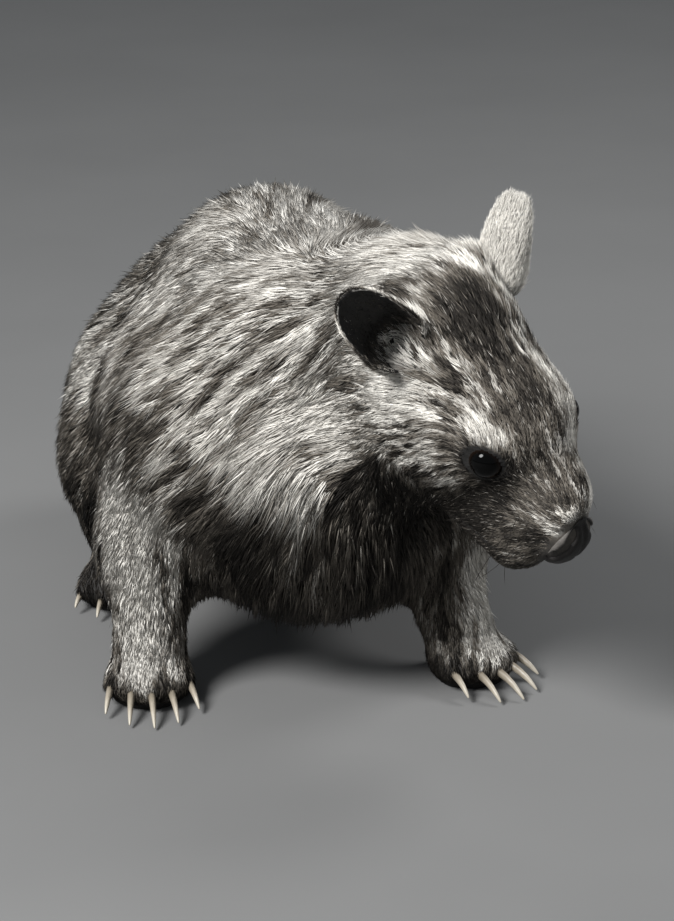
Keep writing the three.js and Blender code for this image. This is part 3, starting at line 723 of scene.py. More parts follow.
def coat_sizes(points, normals, parts, ends):
    """Depth, length, width and spacing of the coat at each vertex, running softly from part to part."""
    sizes = np.array([coat_row(code) for code in range(len(NODE_CODE))])[parts]
    face = np.isin(parts, codes("head", "nose", "lid_bulge"))
    share = np.interp(to_head(points)[:, 0], *FACE_COAT)
    sizes[face, :2] *= share[face, None]
    sizes[face, 2:] *= np.sqrt(share[face, None]).clip(0.78, 1.1)
    for place, reach, times in LONG_HAIR:
        near = np.exp(-((points - np.array(place) * MM) ** 2).sum(1) / (reach * MM) ** 2)
        sizes[~face, 1] *= 1 + (times - 1) * near[~face]
    under = (normals[:, 2] < UNDERSIDE) & np.isin(parts, codes("torso", "hindleg_right", "hindleg_left"))
    sizes[under, 2:] *= 1.3
    return softened(sizes, ends, 18)


def carve_sockets(points):
    """Skin goes inside the eyeball within the opening of the lids and stays outside it beyond."""
    radius = bpy.context.scene.wombat_face.eye_radius
    for side in SIDES.values():
        ahead, above, before, far = on_eye(points, side)
        near = far < 2.2 * radius
        inside = near & (before > 0) & (np.hypot(ahead, above) < 1.06)
        around = near & ~inside
        target = far.copy()
        target[inside] = np.minimum(far[inside], radius - 2.5 * MM)
        target[around] = np.maximum(far[around], radius + 0.4 * MM)
        centre = eye_frame(side)[0]
        points = centre + (points - centre) * (target / far.clip(1e-6))[:, None]
    return points


def mouth_on(points):
    """The line of the mouth, drawn onto the nearest of these points and evened out."""
    tree = kd_tree(points)
    lines = []
    for side in SIDES.values():
        line = np.array([tree.find(mouth_line(share, side))[0] for share in np.linspace(0, 1, 60)])
        for _ in range(6):
            line[1:-1] = (line[:-2] + line[1:-1] + line[2:]) / 3
        lines.append(line)
    return np.concatenate(lines)


def mouth_distance(points):
    """How far each point is from the line of the mouth."""
    return np.linalg.norm(points[:, None] - mouth_on(points)[None], axis=2).min(1)


def carve_mouth(points, normals):
    """A groove along the line of the mouth."""
    near = np.nonzero(in_muzzle(points))[0]
    far = mouth_distance(points[near])
    points[near] -= normals[near] * (MOUTH_DEPTH * np.exp(-((far / MOUTH_WIDTH) ** 2)))[:, None]
    return points


def in_muzzle(points):
    """Whether each point is on the front half of the head."""
    ahead, left, up = to_head(points).T
    return (ahead > 100) & (ahead < 200) & (np.abs(left) < 60) & (up > -130)


def eye_opening(points):
    """How far out each point is from the middle of the nearer eye's opening, 1 at its edge."""
    radius = bpy.context.scene.wombat_face.eye_radius
    out = np.full(len(points), 9.0)
    for side in SIDES.values():
        ahead, above, before, far = on_eye(points, side)
        near = (before >= 0) & (far <= 2.4 * radius)
        out = np.minimum(out, np.where(near, np.hypot(ahead, above), 9.0))
    return out


def in_front_of_pad(points, ahead=0.0):
    """Whether each point is on the nose pad's side of its cut."""
    from_cut = points - on_head(*PAD_CUT)
    return (from_cut @ head_way(*PAD_CUT_WAY) > ahead * MM) & (np.linalg.norm(from_cut, axis=1) < 60 * MM)


def build_skin():
    """The whole animal's skin, closed, inside the solids by the depth of the coat."""
    source = flesh_form("flesh_source")
    skin = new_object("skin", source.data.copy())
    apply_modifier(skin, "REMESH", mode="VOXEL", voxel_size=SKIN_VOXEL, adaptivity=0.0, use_smooth_shade=True)
    skin = keep_largest_shell(skin)
    skin.name = "skin"
    choose(skin)
    bpy.ops.object.mode_set(mode="EDIT")
    bpy.ops.mesh.select_all(action="DESELECT")
    bpy.ops.object.mode_set(mode="OBJECT")
    centres = read(skin.data.polygons, "center", 3).astype(float)
    skin.data.polygons.foreach_set("select", to_head(centres)[:, 0] > FINE_FACE)
    bpy.ops.object.mode_set(mode="EDIT")
    bpy.ops.mesh.select_mode(type="FACE")
    bpy.ops.mesh.subdivide(number_cuts=1)
    bpy.ops.object.mode_set(mode="OBJECT")
    points = positions(skin)
    ends = edge_ends(skin)
    parts = labels_from(source, points)
    sole = points[:, 2] < 1.6 * MM
    big = [name for name in FLESH if name.split("_")[0] in ("torso", "neck", "foreleg", "hindleg")]
    weight = softened(np.where(np.isin(parts, codes(*big)), 1.0, 0.0), ends, 8)[:, 0]
    points = softened(points, ends, 28, weight)
    points = softened(points, ends, 5)
    move_to(skin, points)
    normals = vertex_normals(skin)
    sizes = coat_sizes(points, normals, parts, ends)
    depth = sizes[:, 0] * MM * bpy.context.scene.wombat_coat.length + FLESH_OVERLAP
    points = points - normals * depth[:, None]
    points = softened(points, ends, 4)
    points = carve_sockets(points)
    move_to(skin, points)
    points = carve_mouth(points, vertex_normals(skin))
    points[sole, 2] = 0.0
    points[:, 2] = points[:, 2].clip(0, None)
    move_to(skin, points)
    for name, values in zip(("length", "width", "spacing"), sizes[:, 1:].T):
        point_attribute(skin, name, values * MM)
    point_attribute(skin, "part_code", parts)
    point_attribute(skin, "tone", tone_at(points))
    return skin


# Materials

def new_material(name):
    """An empty material with one Principled shader: its tree and that shader."""
    material = bpy.data.materials.new(name)
    material.use_nodes = True
    tree = material.node_tree
    tree.nodes.clear()
    shader = tree.nodes.new("ShaderNodeBsdfPrincipled")
    output = tree.nodes.new("ShaderNodeOutputMaterial")
    tree.links.new(shader.outputs["BSDF"], output.inputs["Surface"])
    return material, tree, shader


def add_node(tree, kind, links=(), **values):
    """A node with its inputs set and linked; links are (input, output socket)."""
    node = tree.nodes.new(kind)
    for name, value in values.items():
        setattr(node, name, value)
    for name, source in links:
        if hasattr(source, "is_output"):
            tree.links.new(source, node.inputs[name])
        else:
            node.inputs[name].default_value = source
    return node


def colour_ramp(tree, source, stops):
    """A colour from a number; stops are (place, colour)."""
    ramp = tree.nodes.new("ShaderNodeValToRGB")
    elements = ramp.color_ramp.elements
    while len(elements) < len(stops):
        elements.new(0.5)
    for element, (place, colour) in zip(elements, stops):
        element.position = place
        element.color = (*colour, 1.0)
    tree.links.new(source, ramp.inputs["Fac"])
    return ramp.outputs["Color"]


def multiply_add(tree, value, times, more):
    """A number times another, plus a third."""
    node = add_node(tree, "ShaderNodeMath", [(0, value), (1, times), (2, more)], operation="MULTIPLY_ADD")
    return node.outputs[0]


def less(tree, value, amount):
    """A number less an amount."""
    return add_node(tree, "ShaderNodeMath", [(0, value), (1, amount)], operation="SUBTRACT").outputs[0]


def between(tree, value, low, high):
    """A number from 0 to 1, brought between two others."""
    node = add_node(tree, "ShaderNodeMapRange", [("Value", value), ("To Min", low), ("To Max", high)])
    return node.outputs["Result"]


def attribute(tree, name):
    """A number that the vertices carry."""
    return add_node(tree, "ShaderNodeAttribute", attribute_name=name).outputs["Fac"]


def object_noise(tree, scale, detail=3.0, roughness=0.55, stretch=(1, 1, 1)):
    """Noise on Object coordinates, stretched along an axis where asked."""
    place = tree.nodes.new("ShaderNodeTexCoord")
    mapping = add_node(tree, "ShaderNodeMapping", [("Vector", place.outputs["Object"]), ("Scale", stretch)])
    noise = add_node(tree, "ShaderNodeTexNoise", [
        ("Vector", mapping.outputs["Vector"]), ("Scale", scale), ("Detail", detail),
        ("Roughness", roughness)])
    return noise.outputs["Fac"]


def bump(tree, shader, height, distance, strength=1.0):
    """Bump on a shader from a height."""
    node = add_node(tree, "ShaderNodeBump", [
        ("Height", height), ("Distance", distance), ("Strength", strength)])
    tree.links.new(node.outputs["Normal"], shader.inputs["Normal"])


def coat_stops(shade):
    """The coat's colours from dark to pale, times a shade."""
    hair = bpy.context.scene.wombat_coat
    dark, middle, pale = (np.array(colour) * shade for colour in (hair.dark, hair.middle, hair.pale))
    return ((0.0, dark), (0.2, dark * 2.6), (0.47, middle), (0.72, (middle + pale) * 0.5), (1.0, pale))


def coat_material():
    """Hair: its tone, darker at the root, with a dull sheen."""
    material, tree, shader = new_material("coat_hair")
    hair = add_node(tree, "ShaderNodeAttribute", attribute_name="hair")
    channels = add_node(tree, "ShaderNodeSeparateColor", [("Color", hair.outputs["Color"])])
    tone, along, chance = channels.outputs
    mixed = multiply_add(tree, object_noise(tree, 900.0, 2.0), 0.12, tone)
    colour = colour_ramp(tree, less(tree, mixed, 0.06), coat_stops(1.0))
    root = add_node(tree, "ShaderNodeMapRange", [("Value", along), ("From Max", 0.5), ("To Min", 0.62)])
    shade = add_node(tree, "ShaderNodeMix", [
        (0, root.outputs["Result"]), (6, (0, 0, 0, 1)), (7, colour)], data_type="RGBA")
    tree.links.new(shade.outputs[2], shader.inputs["Base Color"])
    tree.links.new(between(tree, chance, 0.55, 0.72), shader.inputs["Roughness"])
    shader.inputs["Specular IOR Level"].default_value = 0.12
    return material


def skin_material():
    """Undercoat and bare skin: the coat's markings, darker, in fine streaks."""
    material, tree, shader = new_material("skin_undercoat")
    streak = object_noise(tree, 420.0, 4.0, 0.65)
    varied = multiply_add(tree, streak, 0.3, attribute(tree, "tone"))
    varied = multiply_add(tree, object_noise(tree, 60.0, 3.0), 0.16, varied)
    colour = colour_ramp(tree, less(tree, varied, 0.26), coat_stops(0.5))
    tree.links.new(colour, shader.inputs["Base Color"])
    shader.inputs["Roughness"].default_value = 0.8
    bump(tree, shader, streak, 0.6 * MM)
    return material


def ear_material():
    """Ear skin: near black painted shade inside the cup, pale on the back."""
    hair = bpy.context.scene.wombat_coat
    dark, middle, pale = (np.array(colour) for colour in (hair.dark, hair.middle, hair.pale))
    material, tree, shader = new_material("ear_skin")
    vein = object_noise(tree, 180.0, 5.0, 0.6)
    varied = multiply_add(tree, vein, 0.12, attribute(tree, "tone"))
    # Tone 0, in the cup, is near black painted shade.
    colour = colour_ramp(tree, varied, (
        (0.0, dark * 0.4), (0.3, dark), (0.6, middle * 0.8), (0.8, pale * 0.45)))
    tree.links.new(colour, shader.inputs["Base Color"])
    shader.inputs["Roughness"].default_value = 0.62
    bump(tree, shader, vein, 0.5 * MM)
    return material


def eye_material():
    """A wet, near black eyeball with a dim brown iris."""
    material, tree, shader = new_material("eye_wet")
    varied = multiply_add(tree, object_noise(tree, 900.0, 3.0), 0.04, attribute(tree, "look"))
    colour = colour_ramp(tree, varied, (
        (0.0, (0.004, 0.003, 0.003)), (0.62, (0.006, 0.004, 0.003)), (0.78, (0.009, 0.005, 0.003)),
        (0.9, (0.001, 0.001, 0.001))))
    tree.links.new(colour, shader.inputs["Base Color"])
    shader.inputs["Roughness"].default_value = 0.07
    shader.inputs["Specular IOR Level"].default_value = 0.12
    return material


def leather_material(name, dark, light, roughness, scale, grain, rim=None):
    """Bare dark skin with a pebbled grain, and a painted highlight, paler, on the rim where the rim attribute
    says.
    """
    material, tree, shader = new_material(name)
    place = tree.nodes.new("ShaderNodeTexCoord")
    pebbles = add_node(tree, "ShaderNodeTexVoronoi", [("Vector", place.outputs["Object"]), ("Scale", scale)])
    cloud = object_noise(tree, scale * 0.25, 4.0)
    colour = colour_ramp(tree, cloud, ((0.3, dark), (0.75, light)))
    if rim:
        mixed = add_node(tree, "ShaderNodeMix", [
            (0, attribute(tree, "rim")), (6, colour), (7, (*rim, 1.0))], data_type="RGBA")
        colour = mixed.outputs[2]
    tree.links.new(colour, shader.inputs["Base Color"])
    tree.links.new(between(tree, cloud, roughness - 0.1, roughness + 0.12), shader.inputs["Roughness"])
    shader.inputs["Specular IOR Level"].default_value = 0.25
    bump(tree, shader, pebbles.outputs["Distance"], grain, 0.8)
    return material


def claw_material():
    """Worn horn: pale and streaked along, darker at the root."""
    material, tree, shader = new_material("claw_horn")
    streak = object_noise(tree, 240.0, 4.0, 0.6, (1.0, 0.35, 1.0))
    varied = multiply_add(tree, streak, 0.35, attribute(tree, "along"))
    colour = colour_ramp(tree, varied, (
        (0.1, (0.05, 0.04, 0.03)), (0.42, (0.17, 0.145, 0.11)), (0.8, (0.33, 0.29, 0.23)),
        (1.0, (0.42, 0.38, 0.31))))
    tree.links.new(colour, shader.inputs["Base Color"])
    tree.links.new(between(tree, streak, 0.28, 0.5), shader.inputs["Roughness"])
    bump(tree, shader, streak, 0.25 * MM)
    return material


def floor_material():
    """A plain pale floor with the faintest cloud in it."""
    material, tree, shader = new_material("floor_plain")
    plain = np.array(bpy.context.scene.wombat_stage.floor)
    colour = colour_ramp(tree, object_noise(tree, 3.0), ((0.3, plain * 0.96), (0.7, plain * 1.04)))
    tree.links.new(colour, shader.inputs["Base Color"])
    shader.inputs["Roughness"].default_value = 0.85
    return material


def finish_piece(obj, material, nodes=()):
    """Gives a piece its material and its place on the body."""
    obj.data.materials.clear()
    obj.data.materials.append(material)
    obj.data.polygons.foreach_set("material_index", np.zeros(len(obj.data.polygons), np.int32))
    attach(obj, "root")
    if nodes:
        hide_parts(*nodes)


# Pieces of the face

def nostril_edge(points):
    """How far each point is outside the nearer nostril, in millimetres, negative within it, and its side."""
    front, middle, back = (np.array(place) for place in NOSTRIL)
    head = to_head(points)
    nearest = np.full(len(points), 99.0)
    which = np.ones(len(points))
    for side in SIDES.values():
        for share in np.linspace(0, 1, 40):
            place = front * (1 - share) ** 2 + middle * 2 * share * (1 - share) + back * share ** 2
            wide = np.interp(share, (0, 0.5, 1), NOSTRIL_WIDTHS)
            far = np.linalg.norm(head - place * (1, side, 1), axis=1) - wide
            which = np.where(far < nearest, side, which)
            nearest = np.minimum(nearest, far)
    return nearest, which


def build_nose(material):
    """The bare pad of the nose: rounded, with a cleft, open nostrils and their raised rims."""
    pad = node_copies(["nose"], "nose_pad")
    pad.data.attributes.remove(pad.data.attributes["part"])
    apply_modifier(pad, "REMESH", mode="VOXEL", voxel_size=0.9 * MM, use_smooth_shade=True)
    points = softened(positions(pad), edge_ends(pad), 14)
    move_to(pad, points)
    ahead, left, up = to_head(points).T
    cleft = np.exp(-((left / 1.4) ** 2)) * np.clip((ahead - 186) / 6, 0, 1)
    points -= head_way(1, 0, -0.2) * (cleft * CLEFT_DEPTH)[:, None]
    outside, side = nostril_edge(points)
    inward = -head_way(0.85, 0.0, -0.1) - HEAD_AXES[1] * (0.5 * side[:, None])
    within = np.clip(-outside / NOSTRIL_WIDTHS[1], 0, 1)
    points += unit(inward) * (NOSTRIL_DEPTH * MM * within * (2 - within))[:, None]
    raised = np.exp(-(((outside - 1.8) / 1.6) ** 2))
    points += vertex_normals(pad) * (raised * 0.2 * MM)[:, None]
    points = softened(points, edge_ends(pad), 8)
    move_to(pad, points)
    # Painted highlight: paler upper rims round the nostrils, where light catches them.
    behind = np.clip((np.abs(left) - 7 + 0.45 * (up + 27)) / 4, 0, 1) * np.clip((up + 58) / 12, 0, 1)
    point_attribute(pad, "rim", (np.exp(-(((outside - 2.6) / 2.2) ** 2)) * behind).clip(0, 1))
    choose(pad)
    bpy.ops.object.shade_smooth()
    finish_piece(pad, material, ["nose"])


def build_whiskers(skin):
    """Long stiff hairs on the muzzle and the cheek."""
    rng = np.random.default_rng(SEED + 11)
    places, normals = positions(skin), vertex_normals(skin)
    tree = kd_tree(places)
    roots, out, ways = [], [], []
    for ahead, left, up in WHISKER_ROOTS:
        for side in SIDES.values():
            k = tree.find(on_head(ahead, left * side, up))[1]
            way = head_way(0.1 + rng.normal(scale=0.25), 0.5 * side, -0.2 + rng.normal(scale=0.25))
            roots.append(places[k] - normals[k] * MM)
            out.append(normals[k])
            ways.append(unit(way - normals[k] * (way @ normals[k])))
    count = len(roots)
    lengths = rng.uniform(28, 44, count) * MM
    widths = np.full(count, 0.5 * MM)
    lifts = rng.uniform(0.7, 1.1, count)
    settle = rng.uniform(0.1, 0.4, count)
    sway = rng.normal(scale=0.1, size=count)
    vertices, faces = tuft_mesh(
        np.array(roots), np.array(out), np.array(ways), lengths, widths, lifts, settle, sway, WHISKER_RINGS)
    tones, chance = np.full(count, 0.16), rng.random(count)
    spots = np.stack((np.linspace(0.05, 0.95, count), np.full(count, 0.5)), 1)
    return tuft_object("whiskers", vertices, faces, tones, chance, WHISKER_RINGS, spots)


def build_eye(side_name):
    """An eyeball with the cornea's bulge towards its look."""
    radius = bpy.context.scene.wombat_face.eye_radius
    centre, look, up, along = eye_frame(SIDES[side_name])
    deselect()
    bpy.ops.mesh.primitive_uv_sphere_add(segments=56, ring_count=32, radius=radius)
    ball = bpy.context.active_object
    ball.name = f"eyeball_{side_name}"
    points = positions(ball)
    toward = points[:, 2] / radius
    edge = math.cos(CORNEA_ANGLE)
    cornea = np.clip((toward - edge) / (1 - edge), 0, 1)
    points *= (1 + CORNEA_BULGE * cornea * (2 - cornea))[:, None]
    move_to(ball, points @ np.stack((along, up, look)) + centre)
    point_attribute(ball, "look", toward * 0.5 + 0.5)
    bpy.ops.object.shade_smooth()
    return ball


def build_lid(side_name):
    """The lids of one eye: a soft almond ring round the ball, heavier above, its inner rim bare."""
    radius = bpy.context.scene.wombat_face.eye_radius
    centre, look, up, along = eye_frame(SIDES[side_name])
    deselect()
    bpy.ops.mesh.primitive_torus_add(
        major_segments=LID_STEPS, minor_segments=len(LID_PROFILE), major_radius=1.0, minor_radius=0.25)
    lid = bpy.context.active_object
    lid.name = f"lid_{side_name}"
    points = positions(lid)
    for i in range(LID_STEPS):
        turn = 2 * math.pi * i / LID_STEPS
        edge = np.array((SLIT_LONG * math.cos(turn) * 0.94, SLIT_HIGH * math.sin(turn) * 0.96))
        corner = 0.5 + 0.5 * math.cos(2 * turn)
        open_angle = math.asin(min(np.linalg.norm(edge), 0.985))
        heading = edge / np.linalg.norm(edge)
        way = along * heading[0] + up * heading[1]
        heavy = 1 + 0.35 * max(math.sin(turn), 0)
        for j, (beyond, height) in enumerate(LID_PROFILE):
            angle = open_angle + math.radians(beyond)
            far = radius + height * MM * (heavy if height > 0 else 1) * (1 - 0.25 * corner)
            place = centre + (look * math.cos(angle) + way * math.sin(angle)) * far
            points[i * len(LID_PROFILE) + j] = place
    move_to(lid, points)
    turn_faces_out(lid)
    apply_modifier(lid, "SUBSURF", levels=1, render_levels=1)
    bpy.ops.object.shade_smooth()
    return lid


def ear_frame(side_name):
    """An ear's root, and the ways of its axis, across it and into its cup."""
    axis_way, look_way = EAR_WAYS[side_name]
    axis = head_way(*axis_way)
    across = unit(np.cross(axis, head_way(*look_way)))
    root = on_head(EAR_ROOT[0], SIDES[side_name] * EAR_ROOT[1], EAR_ROOT[2])
    return root, axis, across, np.cross(across, axis)


def ear_surface(side_name, t, u):
    """The ear's middle surface at t from root to tip and u from -1 to 1 round its cup, with its wall."""
    settings = bpy.context.scene.wombat_face
    root, axis, across, facing = ear_frame(side_name)
    leaf = max(1 - abs((t - 0.3) / 0.705) ** 2.4, 0.0) ** (1 / 2.4)
    waist = 1 - 0.2 * max(1 - t / 0.3, 0) ** 2
    wide = settings.ear_width / 2 * leaf * waist * EAR_SPREAD[side_name]
    wrap = math.radians(128 - 74 * min(t / 0.7, 1))
    bow = wide / math.sin(min(wrap, math.pi / 2))
    wall = min(settings.ear_wall * (1 - 0.35 * t), 0.7 * wide)
    lean = bow * math.cos(wrap) * 0.4 + 5 * MM * t * t
    middle = root + axis * (settings.ear_length * t - EAR_SUNK) + facing * lean
    turn = u * wrap * 0.97
    reach = bow - wall / 2
    ripple = 0.7 * MM * math.sin(9 * t + 2 * SIDES[side_name]) * abs(u) ** 3
    bowl = 0.5 * bow - (reach + ripple) * math.cos(turn)
    return middle + across * reach * math.sin(turn) + facing * bowl, wall


def build_ear(side_name):
    """One ear: a cupped leaf with rolled edges, folded at its root."""
    rows, span = 36, 27
    tip_share = 0.985
    deselect()
    bpy.ops.mesh.primitive_grid_add(x_subdivisions=span - 1, y_subdivisions=rows - 1, size=2.0, calc_uvs=True)
    ear = bpy.context.active_object
    ear.name = f"ear_{side_name}_leaf"
    flat = positions(ear)
    points = np.empty_like(flat)
    walls = np.empty(len(flat))
    for k, (x, y, _) in enumerate(flat):
        points[k], walls[k] = ear_surface(side_name, (y + 1) / 2 * tip_share, x)
    move_to(ear, points)
    thick = ear.vertex_groups.new(name="wall")
    widest = float(walls.max())
    edge = np.clip((1 - np.abs(flat[:, 0])) / 0.3, 0.0, 1.0)
    for k, wall in enumerate(walls):
        thick.add([k], float(wall / widest * (0.45 + 0.55 * edge[k])), "REPLACE")
    apply_modifier(
        ear, "SOLIDIFY", thickness=widest, offset=0.0, vertex_group="wall", use_even_offset=False)
    apply_modifier(ear, "SUBSURF", levels=1, render_levels=1)
    turn_faces_out(ear)
    bpy.ops.object.shade_smooth()
    ear.vertex_groups.clear()
    return ear


def ear_sides(ear, side_name):
    """For each vertex of an ear: 1 on its back, 0 in its cup, and its share of the way to the tip."""
    points, normals = positions(ear), vertex_normals(ear)
    root, axis, _, _ = ear_frame(side_name)
    share = ((points - root) @ axis + EAR_SUNK) / bpy.context.scene.wombat_face.ear_length
    steps = 40
    cores = np.array([
        (ear_surface(side_name, t, 1.0)[0] + ear_surface(side_name, t, -1.0)[0]) / 2
        for t in np.linspace(0, 0.98, steps)])
    outward = points - cores[np.clip(share * steps, 0, steps - 1).astype(int)]
    outward -= axis * (outward @ axis)[:, None]
    back = (outward * normals).sum(1) > 0
    return back.astype(float), share.clip(0, 1)


def build_claws(foot):
    """All claws of one foot, rounded from their solids and joined."""
    names = sorted(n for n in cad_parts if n.startswith(f"claw_{foot}"))
    ahead = (foot_place(foot, 0, 1, 0) - foot_place(foot, 0, 0, 0)) / MM
    pieces = []
    for name in names:
        claw = node_copies([name], f"{name}_round")
        claw.data.attributes.remove(claw.data.attributes["part"])
        move_to(claw, positions(claw) + vertex_normals(claw) * 0.4 * MM)
        apply_modifier(claw, "SUBSURF", levels=2, render_levels=2)
        points = positions(claw)
        points[:, 2] = points[:, 2].clip(0.3 * MM, None)
        move_to(claw, points)
        reach = points @ ahead
        point_attribute(claw, "along", (reach - reach.min()) / (reach.max() - reach.min()))
        pieces.append(claw)
    claws = joined(pieces, f"claws_{foot}")
    bpy.ops.object.shade_smooth()
    return claws, names


# The coat

def scatter(obj, spacing, rng):
    """Roots spread over a mesh: each root's three corner vertices and its shares of them."""
    mesh = obj.data
    mesh.calc_loop_triangles()
    corners = read(mesh.loop_triangles, "vertices", 3, np.int32)
    areas = read(mesh.loop_triangles, "area")
    expected = areas / spacing[corners].mean(1) ** 2
    count = np.floor(expected + rng.random(len(corners))).astype(int)
    chosen = np.repeat(corners, count, axis=0)
    a, b = rng.random((2, len(chosen)))
    flip = a + b > 1
    a[flip], b[flip] = 1 - a[flip], 1 - b[flip]
    return chosen, np.stack((1 - a - b, a, b), 1)


def blend(values, chosen, shares):
    """Vertex values at each root."""
    if values.ndim == 1:
        return (values[chosen] * shares).sum(1)
    return (values[chosen] * shares[:, :, None]).sum(1)


def locks_of(points, ways, share, rng):
    """Which lock each tuft belongs to: locks are long along the lie and narrow across it."""
    middles = np.nonzero(rng.random(len(points)) < share)[0]
    tree = kd_tree(points[middles])
    near = 9
    found = np.array([[hit[1] for hit in tree.find_n(p, near)] for p in points])
    to_middle = points[middles][found] - points[:, None, :]
    along = (to_middle * ways[:, None, :]).sum(2)
    across = (to_middle ** 2).sum(2) - along ** 2
    best = np.argmin(across + (along / 3.6) ** 2, axis=1)
    row = np.arange(len(points))
    return middles[found[row, best]], to_middle[row, best]


def tuft_mesh(roots, normals, ways, lengths, widths, lifts, settle, sway, rings):
    """Three-sided tufts, pointed at root and tip, as one set of vertices and triangles."""
    count, levels = len(roots), len(rings)
    sides = np.cross(ways, normals)
    vertices = np.empty((count, levels * 3 + 2, 3))
    change = settle - lifts
    change = np.where(np.abs(change) < 1e-3, 1e-3, change)

    def centre(s):
        angle = lifts + change * s
        forward = (np.sin(angle) - np.sin(lifts)) / change
        upward = (np.cos(lifts) - np.cos(angle)) / change
        place = roots + ways * (forward * lengths)[:, None] + normals * (upward * lengths)[:, None]
        return place + sides * (sway * s * s * lengths)[:, None], angle

    vertices[:, 0] = roots
    for level, s in enumerate(rings):
        place, angle = centre(s)
        half = widths / 2 * (1 - 0.4 * max(s - rings[0], 0))
        ridge = (normals * np.cos(angle)[:, None] - ways * np.sin(angle)[:, None]) * (half * 0.8)[:, None]
        first = 1 + level * 3
        vertices[:, first] = place - sides * half[:, None]
        vertices[:, first + 1] = place + ridge
        vertices[:, first + 2] = place + sides * half[:, None]
    vertices[:, -1] = centre(1.0)[0]
    faces = [(1 + (k + 1) % 3, 1 + k, 0) for k in range(3)]
    for level in range(levels - 1):
        low, high = 1 + level * 3, 4 + level * 3
        for k in range(3):
            a, b = k, (k + 1) % 3
            faces += [(low + a, low + b, high + b), (low + a, high + b, high + a)]
    top = 1 + (levels - 1) * 3
    faces += [(top + k, top + (k + 1) % 3, levels * 3 + 1) for k in range(3)]
    return vertices, np.array(faces)


def tuft_object(name, vertices, faces, tone, chance, rings, patch_places):
    """An object from tufts, with hair numbers on its vertices and a bake patch for each tuft."""
    count, each = vertices.shape[:2]
    triangles = (faces[None] + (np.arange(count) * each)[:, None, None]).reshape(-1, 3)
    mesh = bpy.data.meshes.new(name)
    mesh.vertices.add(count * each)
    mesh.vertices.foreach_set("co", vertices.astype(np.float32).ravel())
    mesh.loops.add(len(triangles) * 3)
    mesh.loops.foreach_set("vertex_index", triangles.astype(np.int32).ravel())
    mesh.polygons.add(len(triangles))
    mesh.polygons.foreach_set("loop_start", np.arange(0, len(triangles) * 3, 3, dtype=np.int32))
    mesh.update(calc_edges=True)
    along = np.concatenate(([0.0], np.repeat(rings, 3), [1.0]))
    hair = np.ones((count, each, 4), np.float32)
    hair[:, :, 0] = tone[:, None]
    hair[:, :, 1] = along[None]
    hair[:, :, 2] = chance[:, None]
    layer = mesh.attributes.new("hair", "FLOAT_COLOR", "POINT")
    layer.data.foreach_set("color", hair.ravel())
    side = np.concatenate(([0.5], np.tile((0.0, 0.5, 1.0), len(rings)), [0.5]))
    spots = np.stack((side - 0.5, along - 0.5), 1) * PATCH
    places = (patch_places[:, None, :] * (1 - 2 * PATCH) + PATCH + spots[None]).reshape(-1, 2)
    uv = mesh.uv_layers.new(name="OFBake")
    uv.data.foreach_set("uv", places[triangles.ravel()].astype(np.float32).ravel())
    mesh.polygons.foreach_set("use_smooth", np.ones(len(triangles), bool))
    return new_object(name, mesh)


def unwrap_places(cage, roots):
    """Each root's place on an unwrap of the cage's faces nearest to these roots."""
    tree = surface_tree(cage.data)
    unused = np.ones(len(cage.data.polygons), bool)
    unused[[tree.find_nearest(p)[2] for p in roots]] = False
    part = new_object("unwrap_part", cage.data.copy())
    choose(part)
    bpy.ops.object.mode_set(mode="EDIT")
    bpy.ops.mesh.select_mode(type="FACE")
    bpy.ops.mesh.select_all(action="DESELECT")
    bpy.ops.object.mode_set(mode="OBJECT")
    part.data.polygons.foreach_set("select", unused)
    bpy.ops.object.mode_set(mode="EDIT")
    bpy.ops.mesh.delete(type="FACE")
    bpy.ops.mesh.select_all(action="SELECT")
    bpy.ops.uv.smart_project(angle_limit=math.radians(66), island_margin=0.004)
    bpy.ops.object.mode_set(mode="OBJECT")
    mesh = part.data
    mesh.calc_loop_triangles()
    corners = read(mesh.loop_triangles, "vertices", 3, np.int32)
    loops = read(mesh.loop_triangles, "loops", 3, np.int32)
    uv = read(mesh.uv_layers.active.data, "uv", 2)
    points = positions(part)
    tree = BVHTree.FromPolygons(points.tolist(), corners.tolist())
    hits = [tree.find_nearest(p) for p in roots]
    spots = np.array([hit[0] for hit in hits])
    index = np.array([hit[2] for hit in hits])
    a, b, c = (points[corners[index, k]] for k in range(3))
    ab, ac, ap = b - a, c - a, spots - a
    d00, d01, d11 = (ab * ab).sum(1), (ab * ac).sum(1), (ac * ac).sum(1)
    d20, d21 = (ap * ab).sum(1), (ap * ac).sum(1)
    scale = (d00 * d11 - d01 * d01).clip(1e-18)
    v = ((d11 * d20 - d01 * d21) / scale).clip(0, 1)
    w = ((d00 * d21 - d01 * d20) / scale).clip(0, 1)
    shares = np.stack((1 - v - w, v, w), 1)
    places = (uv[loops[index]] * shares[:, :, None]).sum(1).clip(0, 1)
    bpy.data.objects.remove(part)
    return places


def cage_of(source):
    """A coarse closed form of the flesh, for the unwrap."""
    cage = new_object("unwrap_cage", source.data.copy())
    apply_modifier(cage, "REMESH", mode="VOXEL", voxel_size=CAGE_VOXEL)
    return cage


